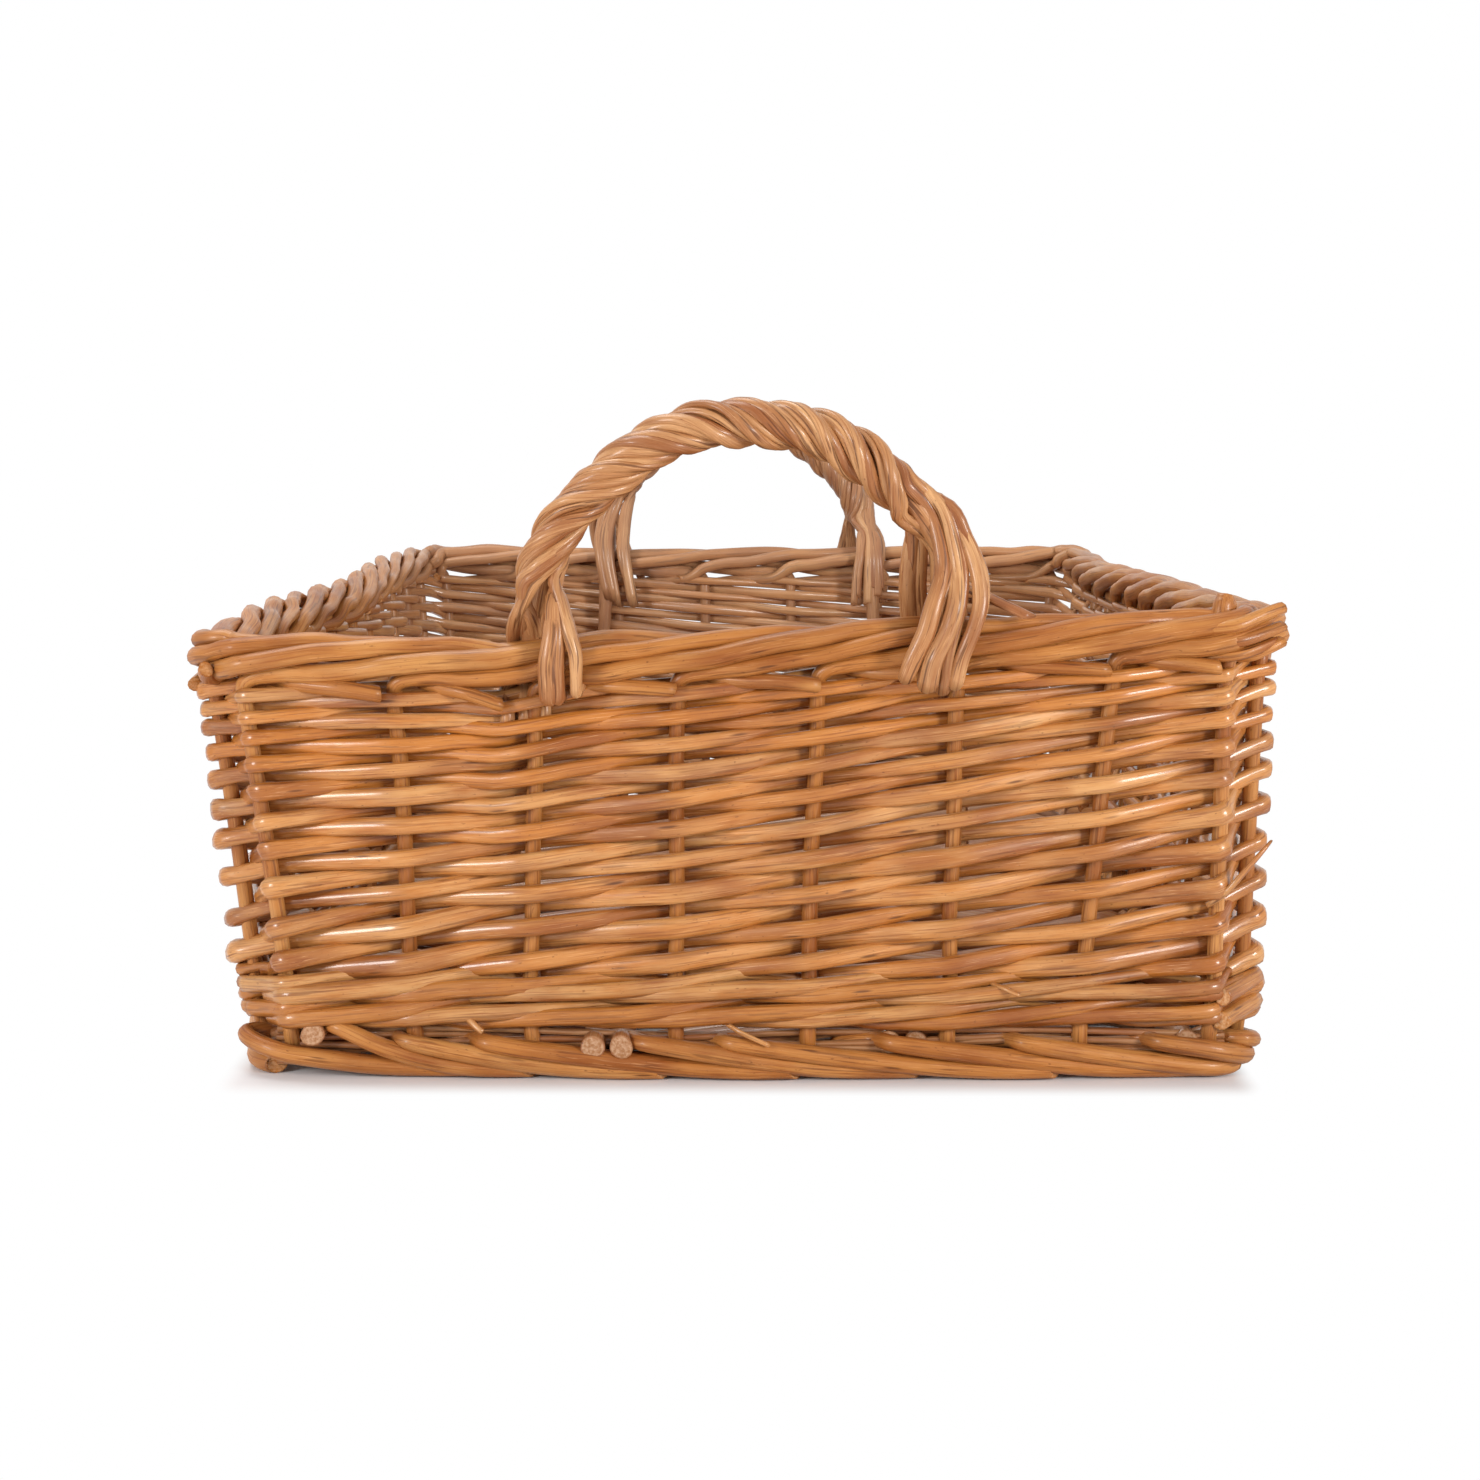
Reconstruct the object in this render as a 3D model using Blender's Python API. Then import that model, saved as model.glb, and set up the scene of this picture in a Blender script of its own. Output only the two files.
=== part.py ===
"""Wicker display basket: stakes laced into a foot and a rolled border, chased weave, two roped handles."""
import math

import bmesh
import bpy
from mathutils import Vector

# Driving sizes, in metres. The basket stands on z = 0, long side along Y, front end towards -Y.
STAKE_LINE_X = 0.1905
STAKE_LINE_Y = 0.2905
CORNER_RADIUS = 0.0130
WALL_LEAN = 0.0100
BORDER_Z = 0.1552
STAKE_DIAMETER = 0.0056
FOOT_DIAMETER = 0.0069
BORDER_ROD_DIAMETER = 0.0062
WEAVER_DIAMETER = 0.0068
UPSETT_DIAMETER = 0.0066
HANDLE_TOP_Z = 0.2470
BOW_DIAMETER = 0.0072
ROPE_DIAMETER = 0.0058
BOW_LEG_DEPTH = 0.0950
ROPE_TUCK_DEPTH = 0.0130
BASE_STICK_DIAMETER = 0.0085
BASE_WEAVE_THICKNESS = 0.0042
PAIR_GAP = 0.0009
GAP = 0.0003

# Counts and shares.
END_STAKES = 8
SIDE_STAKES = 12
STAKES = 2 * (END_STAKES + SIDE_STAKES)
BORDER_STRANDS = 5
BORDER_FILL_SHARE = 1.14
FOOT_INTERVALS = 2.0
FOOT_FLAT_SHARE = 0.08
FOOT_BEND_SHARE = 0.16
FOOT_STEP_SHARE = 1.16
FOOT_SINK_SHARE = 0.72
FOOT_OUT_SHARE = 1.0
UPSETT_RODS = 3
UPSETT_REPEAT = 4
HANDLE_STAKE_NUMBER = 2
ROPE_TURNS = 3
ROPE_POINTS_PER_TURN = 9
ROPE_SPREAD_DEGREES = 56.0
WRAP_STEP_DEGREES = 60.0
STEEPEST_SINE = 0.95
PITCH_SLACK_SHARE = 1.5
WALL_BULGE_SHARE = 1.05
TURN_STEP_COUNT = 3
PLAIN_STEP_COUNT = 2
ROPE_CIRCLE_SHARE = 1.13
ROPE_APART_SHARE = 1.18
ROPE_OVER_SHARE = 0.75
ROPE_START_SHARE = 0.10
BOW_STEP_COUNT = 16
BOW_TURN_SHARES = ((2.0, 0.35), (0.0, 0.80))
BOW_JOIN_SHARE = 3.2
BASE_BAND_COUNT = 21
BAND_LIFT_SHARE = 1.18
STAKE_FACETS = 4
WEAVER_FACETS = 4
HANDLE_FACETS = 6
STICK_FACETS = 6
STICK_SHARES = (-0.90, -0.32, 0.32, 0.90)
PAIRED = (False, True, True, False)

# Sizes that follow from those above.
STAKE_R = STAKE_DIAMETER / 2
FOOT_R = FOOT_DIAMETER / 2
STRAND_R = BORDER_ROD_DIAMETER / 2
WEAVER_R = WEAVER_DIAMETER / 2
UPSETT_R = UPSETT_DIAMETER / 2
BOW_R = BOW_DIAMETER / 2
ROPE_R = ROPE_DIAMETER / 2
STICK_R = BASE_STICK_DIAMETER / 2
PAIR_SPACING = BASE_STICK_DIAMETER + PAIR_GAP
BORDER_R = BORDER_FILL_SHARE * (STRAND_R + GAP / 2) / math.sin(math.pi / BORDER_STRANDS)
BORDER_OUTER = BORDER_R + STRAND_R
FOOT_STEP = FOOT_STEP_SHARE * FOOT_DIAMETER
FOOT_LOW_Z = FOOT_SINK_SHARE * FOOT_R
FOOT_TOP_Z = FOOT_LOW_Z + FOOT_INTERVALS * FOOT_STEP + FOOT_R
FOOT_OUT = FOOT_OUT_SHARE * FOOT_R
UPSETT_PITCH = UPSETT_DIAMETER + GAP
UPSETT_FIRST_Z = FOOT_TOP_Z + GAP + UPSETT_R
WEAVE_FIRST_Z = UPSETT_FIRST_Z + (UPSETT_RODS - 1) * UPSETT_PITCH + UPSETT_R + GAP + WEAVER_R
WEAVE_PITCH = WEAVER_DIAMETER + PITCH_SLACK_SHARE * GAP
TAIL_SHARES = ((0.28, -0.70, -1.36), (0.62, 0.36, -1.86), (0.84, 1.02, -1.84))
TAIL_DROP = -min(up for _, _, up in TAIL_SHARES) * BORDER_R
WEAVE_LAST_Z = BORDER_Z - TAIL_DROP - STRAND_R - WEAVER_R - 2 * GAP
LACE_OFFSET = STAKE_R + WEAVER_R + GAP
WALL_INNER = WALL_BULGE_SHARE * LACE_OFFSET + WEAVER_R
BOW_IN = max(WALL_INNER, BORDER_OUTER) + GAP + BOW_R
ROPE_CIRCLE_R = ROPE_CIRCLE_SHARE * (BOW_R + ROPE_R)
BORDER_TOP_Z = BORDER_Z + BORDER_OUTER
BAND_LIFT = BAND_LIFT_SHARE * (STICK_R + GAP) + BASE_WEAVE_THICKNESS / 2
STICK_Z = FOOT_TOP_Z - GAP - BASE_WEAVE_THICKNESS / 2 - BAND_LIFT
BASE_EDGE_WIDTH = (CORNER_RADIUS - STAKE_R) / 2

SIDES = (("front", END_STAKES), ("right", SIDE_STAKES), ("back", END_STAKES), ("left", SIDE_STAKES))


def clear_scene():
    """Remove every object, so that the build starts from nothing."""
    for found in list(bpy.data.objects):
        bpy.data.objects.remove(found, do_unlink=True)


def new_collection(label):
    """Make a collection under the scene."""
    made = bpy.data.collections.new(label)
    bpy.context.scene.collection.children.link(made)
    return made


def willow(label, tint, shine):
    """Make one varnished willow material: tint 0 is pale honey, 1 is dark brown."""
    made = bpy.data.materials.new(label)
    made.use_nodes = True
    shader = made.node_tree.nodes["Principled BSDF"]
    pale = (0.60, 0.33, 0.13)
    dark = (0.33, 0.16, 0.06)
    mixed = [a + (b - a) * tint for a, b in zip(pale, dark)]
    shader.inputs["Base Color"].default_value = (*mixed, 1.0)
    shader.inputs["Roughness"].default_value = shine
    shader.inputs["Metallic"].default_value = 0.0
    made.diffuse_color = (*mixed, 1.0)
    return made


def lean(z):
    """Tell how far the wall has come inwards at height z."""
    return WALL_LEAN * (BORDER_Z - z) / BORDER_Z


def stake_side(index):
    """Give the side number, the place on that side and the number of stakes there."""
    place = index % STAKES
    for side, (_, count) in enumerate(SIDES):
        if place < count:
            return side, place, count
        place -= count
    return 0, 0, SIDES[0][1]


def stake_xy(index, z):
    """Give the stake's centre in plan at height z, with the outward direction as an angle."""
    side, place, count = stake_side(index)
    half_x = STAKE_LINE_X - lean(z)
    half_y = STAKE_LINE_Y - lean(z)
    along = -1.0 + 2.0 * place / (count - 1)
    turn = math.pi / 2 * side
    if side % 2 == 0:
        run, reach = (half_x - CORNER_RADIUS) * along, half_y
    else:
        run, reach = (half_y - CORNER_RADIUS) * along, half_x
    x = run * math.cos(turn) + reach * math.sin(turn)
    y = run * math.sin(turn) - reach * math.cos(turn)
    return Vector((x, y)), turn - math.pi / 2


def wall_point(u, out, z):
    """Give the point at stake position u, a distance out from the stake line, at height z."""
    first = math.floor(u)
    share = u - first
    here, here_angle = stake_xy(first, z)
    there, there_angle = stake_xy(first + 1, z)
    if stake_side(first)[0] == stake_side(first + 1)[0]:
        spot = here.lerp(there, share)
        spot = spot + out * Vector((math.cos(here_angle), math.sin(here_angle)))
    else:
        centre = here - CORNER_RADIUS * Vector((math.cos(here_angle), math.sin(here_angle)))
        angle = here_angle + share * math.pi / 2
        spot = centre + (CORNER_RADIUS + out) * Vector((math.cos(angle), math.sin(angle)))
    return Vector((spot.x, spot.y, z))


def is_corner(index):
    """Tell whether the wall turns a corner between this stake and the next."""
    return stake_side(index)[0] != stake_side(index + 1)[0]


def tube(label, points, radii, sides, material, group, closed=False, level=True):
    """Make one round rod along the points, its ends filled, as a curve object."""
    curve = bpy.data.curves.new(label, "CURVE")
    curve.dimensions = "3D"
    curve.bevel_depth = 1.0
    curve.bevel_resolution = sides // 2 - 2
    curve.use_fill_caps = True
    curve.twist_mode = "Z_UP" if level else "MINIMUM"
    spline = curve.splines.new("POLY")
    spline.points.add(len(points) - 1)
    for node, spot, radius in zip(spline.points, points, radii):
        node.co = (spot[0], spot[1], spot[2], 1.0)
        node.radius = radius
    spline.use_cyclic_u = closed
    made = bpy.data.objects.new(label, curve)
    curve.materials.append(material)
    group.objects.link(made)
    return made


def flatten_foot(rod, group):
    """Turn the rod into a mesh and cut it level with the table, so that it stands on a flat."""
    bpy.context.view_layer.update()
    graph = bpy.context.evaluated_depsgraph_get()
    mesh = bpy.data.meshes.new_from_object(rod.evaluated_get(graph))
    label = rod.name
    material = rod.data.materials[0]
    bpy.data.objects.remove(rod, do_unlink=True)
    work = bmesh.new()
    work.from_mesh(mesh)
    bmesh.ops.remove_doubles(work, verts=work.verts, dist=GAP / 10)
    parts = work.verts[:] + work.edges[:] + work.faces[:]
    bmesh.ops.bisect_plane(work, geom=parts, plane_co=(0, 0, 0), plane_no=(0, 0, 1), clear_inner=True)
    rim = [edge for edge in work.edges if edge.is_boundary]
    bmesh.ops.holes_fill(work, edges=rim)
    bmesh.ops.recalc_face_normals(work, faces=work.faces)
    if work.calc_volume(signed=True) < 0:
        bmesh.ops.reverse_faces(work, faces=work.faces)
    work.to_mesh(mesh)
    work.free()
    mesh.name = label
    made = bpy.data.objects.new(label, mesh)
    if not mesh.materials:
        mesh.materials.append(material)
    group.objects.link(made)
    return made


def foot_points(index):
    """Route the butt of a stake: from its cut end at the table up to the foot of the upright."""
    spots = []
    ages = [FOOT_INTERVALS + FOOT_FLAT_SHARE]
    ages.append(FOOT_INTERVALS)
    ages.append(FOOT_BEND_SHARE)
    for step in range(math.ceil(FOOT_INTERVALS)):
        if is_corner(index + step):
            ages += [step + part / TURN_STEP_COUNT for part in range(TURN_STEP_COUNT + 1)]
    for age in sorted(set(ages), reverse=True):
        if FOOT_BEND_SHARE <= age <= ages[0]:
            z = FOOT_LOW_Z + FOOT_STEP * max(0.0, FOOT_INTERVALS - age)
            spots.append(wall_point(index + age, FOOT_OUT, z))
    return spots


def border_points(index):
    """Route the top of a stake over, inside and back under the rolled border to its tail."""
    spots = []
    for step in range(BORDER_STRANDS - 1):
        parts = TURN_STEP_COUNT if is_corner(index + step) else PLAIN_STEP_COUNT
        for part in range(parts):
            age = step + part / parts
            if age == 0:
                continue
            angle = 2 * math.pi * age / BORDER_STRANDS - math.pi / 2
            out = BORDER_R * math.cos(angle)
            z = BORDER_Z + BORDER_R * math.sin(angle)
            spots.append(wall_point(index + age, out, z))
    last = BORDER_STRANDS - 1
    angle = 2 * math.pi * last / BORDER_STRANDS - math.pi / 2
    spots.append(wall_point(index + last, BORDER_R * math.cos(angle), BORDER_Z + BORDER_R * math.sin(angle)))
    if not is_corner(index + last):
        for age, out_share, up_share in TAIL_SHARES:
            spots.append(wall_point(index + last + age, out_share * BORDER_R, BORDER_Z + up_share * BORDER_R))
    return spots


def build_stakes(group):
    """Make every stake: foot, upright and border strand in one unbroken rod."""
    for index in range(STAKES):
        side, place, _ = stake_side(index)
        label = "stake_" + SIDES[side][0] + "_" + str(place + 1)
        low = foot_points(index)
        high = border_points(index)
        upright = [wall_point(index, 0, FOOT_TOP_Z), wall_point(index, 0, BORDER_Z - BORDER_R - STRAND_R)]
        radii = [FOOT_R] * len(low) + [STAKE_R] * 2 + [STRAND_R] * len(high)
        material = willow(label, 0.35 + 0.3 * math.sin(2.4 * index), 0.42)
        rod = tube(label, low + upright + high, radii, STAKE_FACETS, material, group, level=False)
        flatten_foot(rod, group)


def lace(indices, sides, height, offset):
    """Route a rod in front of and behind stakes: straight tangents, with turns round each stake."""
    centres = [stake_xy(index, height(index))[0] for index in indices]
    headings = []
    for here, there, side, after in zip(centres, centres[1:], sides, sides[1:]):
        run = there - here
        heading = math.atan2(run.y, run.x)
        if side != after:
            heading += side * math.asin(min(STEEPEST_SINE, 2 * offset / run.length))
        headings.append(heading)
    spots = []
    for count, centre in enumerate(centres[1:-1], start=1):
        start = headings[count - 1]
        swing = (headings[count] - start + math.pi) % (2 * math.pi) - math.pi
        parts = max(1, math.ceil(abs(swing) / math.radians(WRAP_STEP_DEGREES)))
        reach = offset / math.cos(swing / (2 * parts))
        for part in range(parts):
            angle = start + swing * (part + 0.5) / parts
            out = sides[count] * reach
            z = height(indices[count])
            spots.append(Vector((centre.x + out * math.sin(angle), centre.y - out * math.cos(angle), z)))
    return spots


def build_weavers(group):
    """Make the two long weavers that chase each other round and up the wall."""
    for count, label in enumerate(("weaver_leading", "weaver_chasing")):
        start = count * STAKES // 2
        turns = max(1, math.floor((WEAVE_LAST_Z - WEAVE_FIRST_Z) / (2 * WEAVE_PITCH)))
        steps = turns * STAKES
        climb = (WEAVE_LAST_Z - WEAVE_FIRST_Z) / steps
        indices = list(range(start - 1, start + steps + 1))
        sides = [1 if (index + count) % 2 == 0 else -1 for index in indices]

        def height(index, low=start):
            return WEAVE_FIRST_Z + climb * (index - low)

        spots = lace(indices, sides, height, LACE_OFFSET)
        tube(label, spots, [WEAVER_R] * len(spots), WEAVER_FACETS, willow(label, 0.15 + 0.1 * count, 0.38), group)


def build_upsett(group):
    """Make the rods of the wale above the foot: in front of three stakes and behind one."""
    for count in range(UPSETT_RODS):
        label = "upsett_rod_" + str(count + 1)
        indices = list(range(-1, STAKES + 1))
        sides = [-1 if (index + count) % UPSETT_REPEAT == 0 else 1 for index in indices]
        level = UPSETT_FIRST_Z + count * UPSETT_PITCH
        spots = lace(indices, sides, lambda index, z=level: z, STAKE_R + UPSETT_R + GAP)
        material = willow(label, 0.3, 0.40)
        tube(label, spots, [UPSETT_R] * len(spots), WEAVER_FACETS, material, group, closed=True)


def stick_places(half_x):
    """Tell where the lengthwise sticks lie: one list of places across for each single or paired stick."""
    groups = []
    for share, paired in zip(STICK_SHARES, PAIRED):
        places = (-PAIR_SPACING / 2, PAIR_SPACING / 2) if paired else (0.0,)
        groups.append([share * half_x + place for place in places])
    return groups


def band_route(groups, inner_x, over):
    """Route the middle of one woven band across the base: over one stick group and under the next."""
    route = [(-inner_x, STICK_Z)]
    for count, places in enumerate(groups):
        side = 1 if (count + over) % 2 == 0 else -1
        route += [(x, STICK_Z + side * BAND_LIFT) for x in places]
    route.append((inner_x, STICK_Z))
    return route


def add_quads(work, first, second):
    """Close the strip between two rows of points with quads."""
    for a, b, c, d in zip(first, first[1:], second[1:], second):
        work.faces.new((a, b, c, d))


def add_band(work, route, low_y, high_y):
    """Add one band's four long sides, and give its corner points at both ends."""
    half = BASE_WEAVE_THICKNESS / 2
    rails = []
    for y, lift in ((low_y, -half), (high_y, -half), (high_y, half), (low_y, half)):
        rails.append([work.verts.new((x, y, z + lift)) for x, z in route])
    for rail, after in zip(rails, rails[1:] + rails[:1]):
        add_quads(work, rail, after)
    return [[rail[end] for rail in rails] for end in (0, -1)]


def add_edge(work, ends, outer_x, half_y):
    """Add the rod that joins all the bands along one long edge, its corners cut off to clear the wall."""
    half = BASE_WEAVE_THICKNESS / 2
    cut_y = half_y - BASE_EDGE_WIDTH
    outside = []
    for lift in (-half, half):
        outside.append([work.verts.new((outer_x, y, STICK_Z + lift)) for y in (cut_y, -cut_y)])
    low = [vert for end in ends for vert in end[:2]]
    high = [vert for end in ends for vert in (end[3], end[2])]
    work.faces.new(low + outside[0])
    work.faces.new(high + outside[1])
    work.faces.new((outside[0][0], outside[0][1], outside[1][1], outside[1][0]))
    work.faces.new((low[0], high[0], outside[1][1], outside[0][1]))
    work.faces.new((low[-1], high[-1], outside[1][0], outside[0][0]))
    for here, there in zip(ends, ends[1:]):
        work.faces.new((here[1], here[2], there[3], there[0]))


def build_base_weave(groups, half_x, half_y, group):
    """Make the woven bottom in one body: bands across, alternately over and under, joined at both edges."""
    work = bmesh.new()
    inner_x = half_x - BASE_EDGE_WIDTH
    pitch = (2 * half_y + GAP) / BASE_BAND_COUNT
    left, right = [], []
    for count in range(BASE_BAND_COUNT):
        low_y = -half_y + count * pitch
        ends = add_band(work, band_route(groups, inner_x, count), low_y, low_y + pitch - GAP)
        left.append(ends[0])
        right.append(ends[1])
    add_edge(work, left, -half_x, half_y)
    add_edge(work, right, half_x, half_y)
    bmesh.ops.recalc_face_normals(work, faces=work.faces)
    mesh = bpy.data.meshes.new("base_weave")
    work.to_mesh(mesh)
    work.free()
    mesh.materials.append(willow("base_weave", 0.55, 0.5))
    group.objects.link(bpy.data.objects.new("base_weave", mesh))


def build_base(group):
    """Make the bottom: lengthwise sticks, and bands woven across them."""
    low_lean = lean(STICK_Z)
    half_x = STAKE_LINE_X - low_lean - STAKE_R - 2 * GAP
    half_y = STAKE_LINE_Y - low_lean - STAKE_R - 2 * GAP
    groups = stick_places(half_x)
    build_base_weave(groups, half_x, half_y, group)
    reach = STAKE_LINE_Y - low_lean + FOOT_OUT - FOOT_R - GAP
    for number, x in enumerate((x for places in groups for x in places), start=1):
        label = "base_stick_" + str(number)
        ends = [(x, -reach, STICK_Z), (x, reach, STICK_Z)]
        tube(label, ends, [STICK_R] * 2, STICK_FACETS, willow(label, 0.5, 0.5), group)


def handle_spot(end, along, out, z):
    """Place a point on the front or back end: along runs to the right seen from outside."""
    flip = 1 if end == 0 else -1
    reach = STAKE_LINE_Y - lean(z) + out
    return Vector((flip * along, -flip * reach, z))


def leg_along():
    """Tell how far a handle leg stands from the middle of the end wall."""
    return -stake_xy(HANDLE_STAKE_NUMBER, BORDER_Z)[0].x


def arch(share):
    """Give the along, height and outward-pointing frame of the handle arch, share 0 to 1."""
    angle = math.pi * (1 - share)
    low = BORDER_TOP_Z + ROPE_CIRCLE_R
    rise = HANDLE_TOP_Z - ROPE_CIRCLE_R - ROPE_R - low
    along = leg_along() * math.cos(angle)
    z = low + rise * math.sin(angle)
    normal = Vector((math.cos(angle) / leg_along(), math.sin(angle) / rise))
    return along, z, normal.normalized()


def build_bow(end, label, group):
    """Make the handle core: an arch whose legs step inwards and run down the inside of the wall."""
    spots = []
    low = BORDER_TOP_Z + BOW_R
    deep = BORDER_TOP_Z - BOW_LEG_DEPTH
    leg = leg_along()
    turn_in = [(low + rise * BOW_R, share) for rise, share in BOW_TURN_SHARES]
    turn_in += [(BORDER_Z + BORDER_R, 1.0), (deep, 1.0)]
    left = [handle_spot(end, -leg, -share * BOW_IN, z) for z, share in turn_in]
    right = [handle_spot(end, leg, -share * BOW_IN, z) for z, share in turn_in]
    for step in range(1, BOW_STEP_COUNT):
        along, z, _ = arch(step / BOW_STEP_COUNT)
        if z > low + BOW_JOIN_SHARE * BOW_R:
            spots.append(handle_spot(end, along, 0, z))
    spots = left[::-1] + spots + right
    material = willow(label, 0.4, 0.42)
    tube(label, spots, [BOW_R] * len(spots), HANDLE_FACETS, material, group, level=False)


def helix_pass(end, phase):
    """Route one crossing of a roping rod over the arch, a right-handed helix from left leg to right leg."""
    spots = []
    count = ROPE_TURNS * ROPE_POINTS_PER_TURN
    for step in range(count + 1):
        run = step / count
        share = ROPE_START_SHARE + (1 - 2 * ROPE_START_SHARE) * run
        along, z, normal = arch(share)
        angle = phase - 2 * math.pi * ROPE_TURNS * run
        out = ROPE_CIRCLE_R * math.cos(angle)
        up = ROPE_CIRCLE_R * math.sin(angle)
        spots.append(handle_spot(end, along + up * normal.x, out, z + up * normal.y))
    return spots


def rope_leg(end, leg_side, along_side, facing, looped):
    """Route the rod's way down past the border on one leg: a few points, the last one lowest."""
    leg = leg_side * leg_along()
    apart = ROPE_APART_SHARE * (BOW_R + ROPE_R)
    reach = BORDER_OUTER + ROPE_R + 2 * GAP
    tuck = BORDER_Z - ROPE_TUCK_DEPTH
    if facing < 0:
        reach = max(reach, BOW_IN)
    along = leg + along_side * apart
    spots = [handle_spot(end, along, facing * ROPE_OVER_SHARE * reach, BORDER_TOP_Z + ROPE_R)]
    spots.append(handle_spot(end, along, facing * reach, BORDER_Z + BORDER_R))
    spots.append(handle_spot(end, along, facing * reach, tuck))
    if looped and facing < 0:
        around = BOW_IN + BOW_R + ROPE_R + GAP
        spots.append(handle_spot(end, along, facing * around, tuck - ROPE_R))
    return spots


def build_rope(end, facing, label, group):
    """Make one roping rod: over the arch, round the right leg's border and back again."""
    spread = math.radians(ROPE_SPREAD_DEGREES)
    middle = 0.0 if facing > 0 else math.pi
    first = helix_pass(end, middle - facing * spread)
    second = helix_pass(end, middle + facing * spread)
    spots = rope_leg(end, -1, 1, facing, False)[::-1] + first
    spots += rope_leg(end, 1, -1, facing, True)
    spots += rope_leg(end, 1, 1, facing, True)[::-1]
    spots += second[::-1] + rope_leg(end, -1, -1, facing, False)
    material = willow(label, 0.2, 0.36)
    tube(label, spots, [ROPE_R] * len(spots), WEAVER_FACETS, material, group, level=False)


def build_handles(group):
    """Make the two fixed handles, each a bow with an outer and an inner roping rod."""
    for end, name in enumerate(("front", "back")):
        build_bow(end, "handle_bow_" + name, group)
        build_rope(end, 1, "handle_rope_outer_" + name, group)
        build_rope(end, -1, "handle_rope_inner_" + name, group)


def main():
    """Build the whole basket."""
    clear_scene()
    group = new_collection("wicker_display_basket")
    build_stakes(group)
    build_upsett(group)
    build_weavers(group)
    build_base(group)
    build_handles(group)


main()
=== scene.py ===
"""Looks of a wicker display basket: willow rods laced round upright stakes, with two roped handles.

All sizes are in metres, except tables that say millimetres. A place on the wall is (u, out, z): u counts
stakes to the right as seen from outside, from 0 at the left stake of the front end and on round the basket.
"""
import math

import bpy
import numpy as np
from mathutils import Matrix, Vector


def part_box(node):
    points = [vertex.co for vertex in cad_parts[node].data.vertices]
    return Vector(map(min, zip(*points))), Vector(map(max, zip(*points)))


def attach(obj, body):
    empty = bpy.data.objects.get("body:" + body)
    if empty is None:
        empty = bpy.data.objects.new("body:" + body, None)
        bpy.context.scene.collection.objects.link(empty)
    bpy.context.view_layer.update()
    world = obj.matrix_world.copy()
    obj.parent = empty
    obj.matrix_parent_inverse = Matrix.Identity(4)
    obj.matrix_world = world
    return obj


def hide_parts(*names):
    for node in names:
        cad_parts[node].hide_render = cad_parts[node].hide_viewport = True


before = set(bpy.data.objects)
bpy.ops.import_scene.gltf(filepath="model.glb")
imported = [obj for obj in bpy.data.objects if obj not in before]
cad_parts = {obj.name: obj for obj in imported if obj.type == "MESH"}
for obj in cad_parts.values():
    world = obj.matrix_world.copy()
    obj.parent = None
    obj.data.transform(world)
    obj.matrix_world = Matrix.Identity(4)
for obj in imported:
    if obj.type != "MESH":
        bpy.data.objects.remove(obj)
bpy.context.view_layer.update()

MM = 1e-3
PITCH_COUNT = (8, 12, 8, 12)
STAKES = sum(PITCH_COUNT)
LINE_X, LINE_Y = 0.1905, 0.2905
CORNER = 0.0130
LEAN = 0.0100
BORDER_Z = 0.1552
STAKE_R = 0.0029
BORDER_R = 0.0064
STRAND_R = 0.0038
FOOT_R = 0.0036
LEG = (LINE_X - CORNER) * 3 / 7
SAMPLES = 12
rng = np.random.RandomState(7)

SIDE_OF = np.repeat(np.arange(4), PITCH_COUNT)
PLACE_OF = np.concatenate([np.linspace(-1.0, 1.0, count) for count in PITCH_COUNT])


def wall(u, out, z):
    """Points of the wall: u counts stakes to the right seen from outside, out is the distance outwards.

    Between two stakes of one side the point moves straight; between the two stakes of a corner it turns
    a quarter circle about the corner's centre. The plan shrinks evenly from the border down to the table.
    """
    u, out, z = np.broadcast_arrays(*(np.asarray(value, float) for value in (u, out, z)))
    first = np.floor(u).astype(int) % STAKES
    after = (first + 1) % STAKES
    share = u - np.floor(u)
    lean = LEAN * (BORDER_Z - z) / BORDER_Z
    half_x, half_y = LINE_X - lean, LINE_Y - lean

    def stake(index):
        side = SIDE_OF[index]
        odd = side % 2 == 1
        run = np.where(odd, half_y - CORNER, half_x - CORNER) * PLACE_OF[index]
        reach = np.where(odd, half_x, half_y)
        turn = side * np.pi / 2
        return run * np.cos(turn) + reach * np.sin(turn), run * np.sin(turn) - reach * np.cos(turn)

    x0, y0 = stake(first)
    x1, y1 = stake(after)
    angle0 = SIDE_OF[first] * np.pi / 2 - np.pi / 2
    corner = SIDE_OF[first] != SIDE_OF[after]
    angle = np.where(corner, angle0 + share * np.pi / 2, angle0)
    base_x = np.where(corner, x0 - CORNER * np.cos(angle0) + CORNER * np.cos(angle), x0 + (x1 - x0) * share)
    base_y = np.where(corner, y0 - CORNER * np.sin(angle0) + CORNER * np.sin(angle), y0 + (y1 - y0) * share)
    spots = np.stack([base_x + out * np.cos(angle), base_y + out * np.sin(angle), z], -1)
    outward = np.stack([np.cos(angle), np.sin(angle), np.zeros_like(angle)], -1)
    return spots, outward


def corner_after(index):
    """True where the wall turns between this stake and the next."""
    return SIDE_OF[index % STAKES] != SIDE_OF[(index + 1) % STAKES]


def hug(u, out, z):
    """Like wall for one rod with rising u, but drawn straight across each corner.

    There the point is near + (far - near) * s, with s the share of the corner that is passed.
    """
    spots, outward = wall(u, out, z)
    first = np.floor(u)
    near, _ = wall(first, np.interp(first, u, out), z)
    far, _ = wall(first + 1, np.interp(first + 1, u, out), z)
    chord = near + (far - near) * (u - first)[:, None]
    return np.where(corner_after(first.astype(int))[:, None], chord, spots), outward


CORNER_STAKES = np.array([0, 7, 8, 19, 20, 27, 28, 39, 40, 47, 48, 59, 60])
KINK_SWELL, KINK_REACH = 0.12, 0.15


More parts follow.
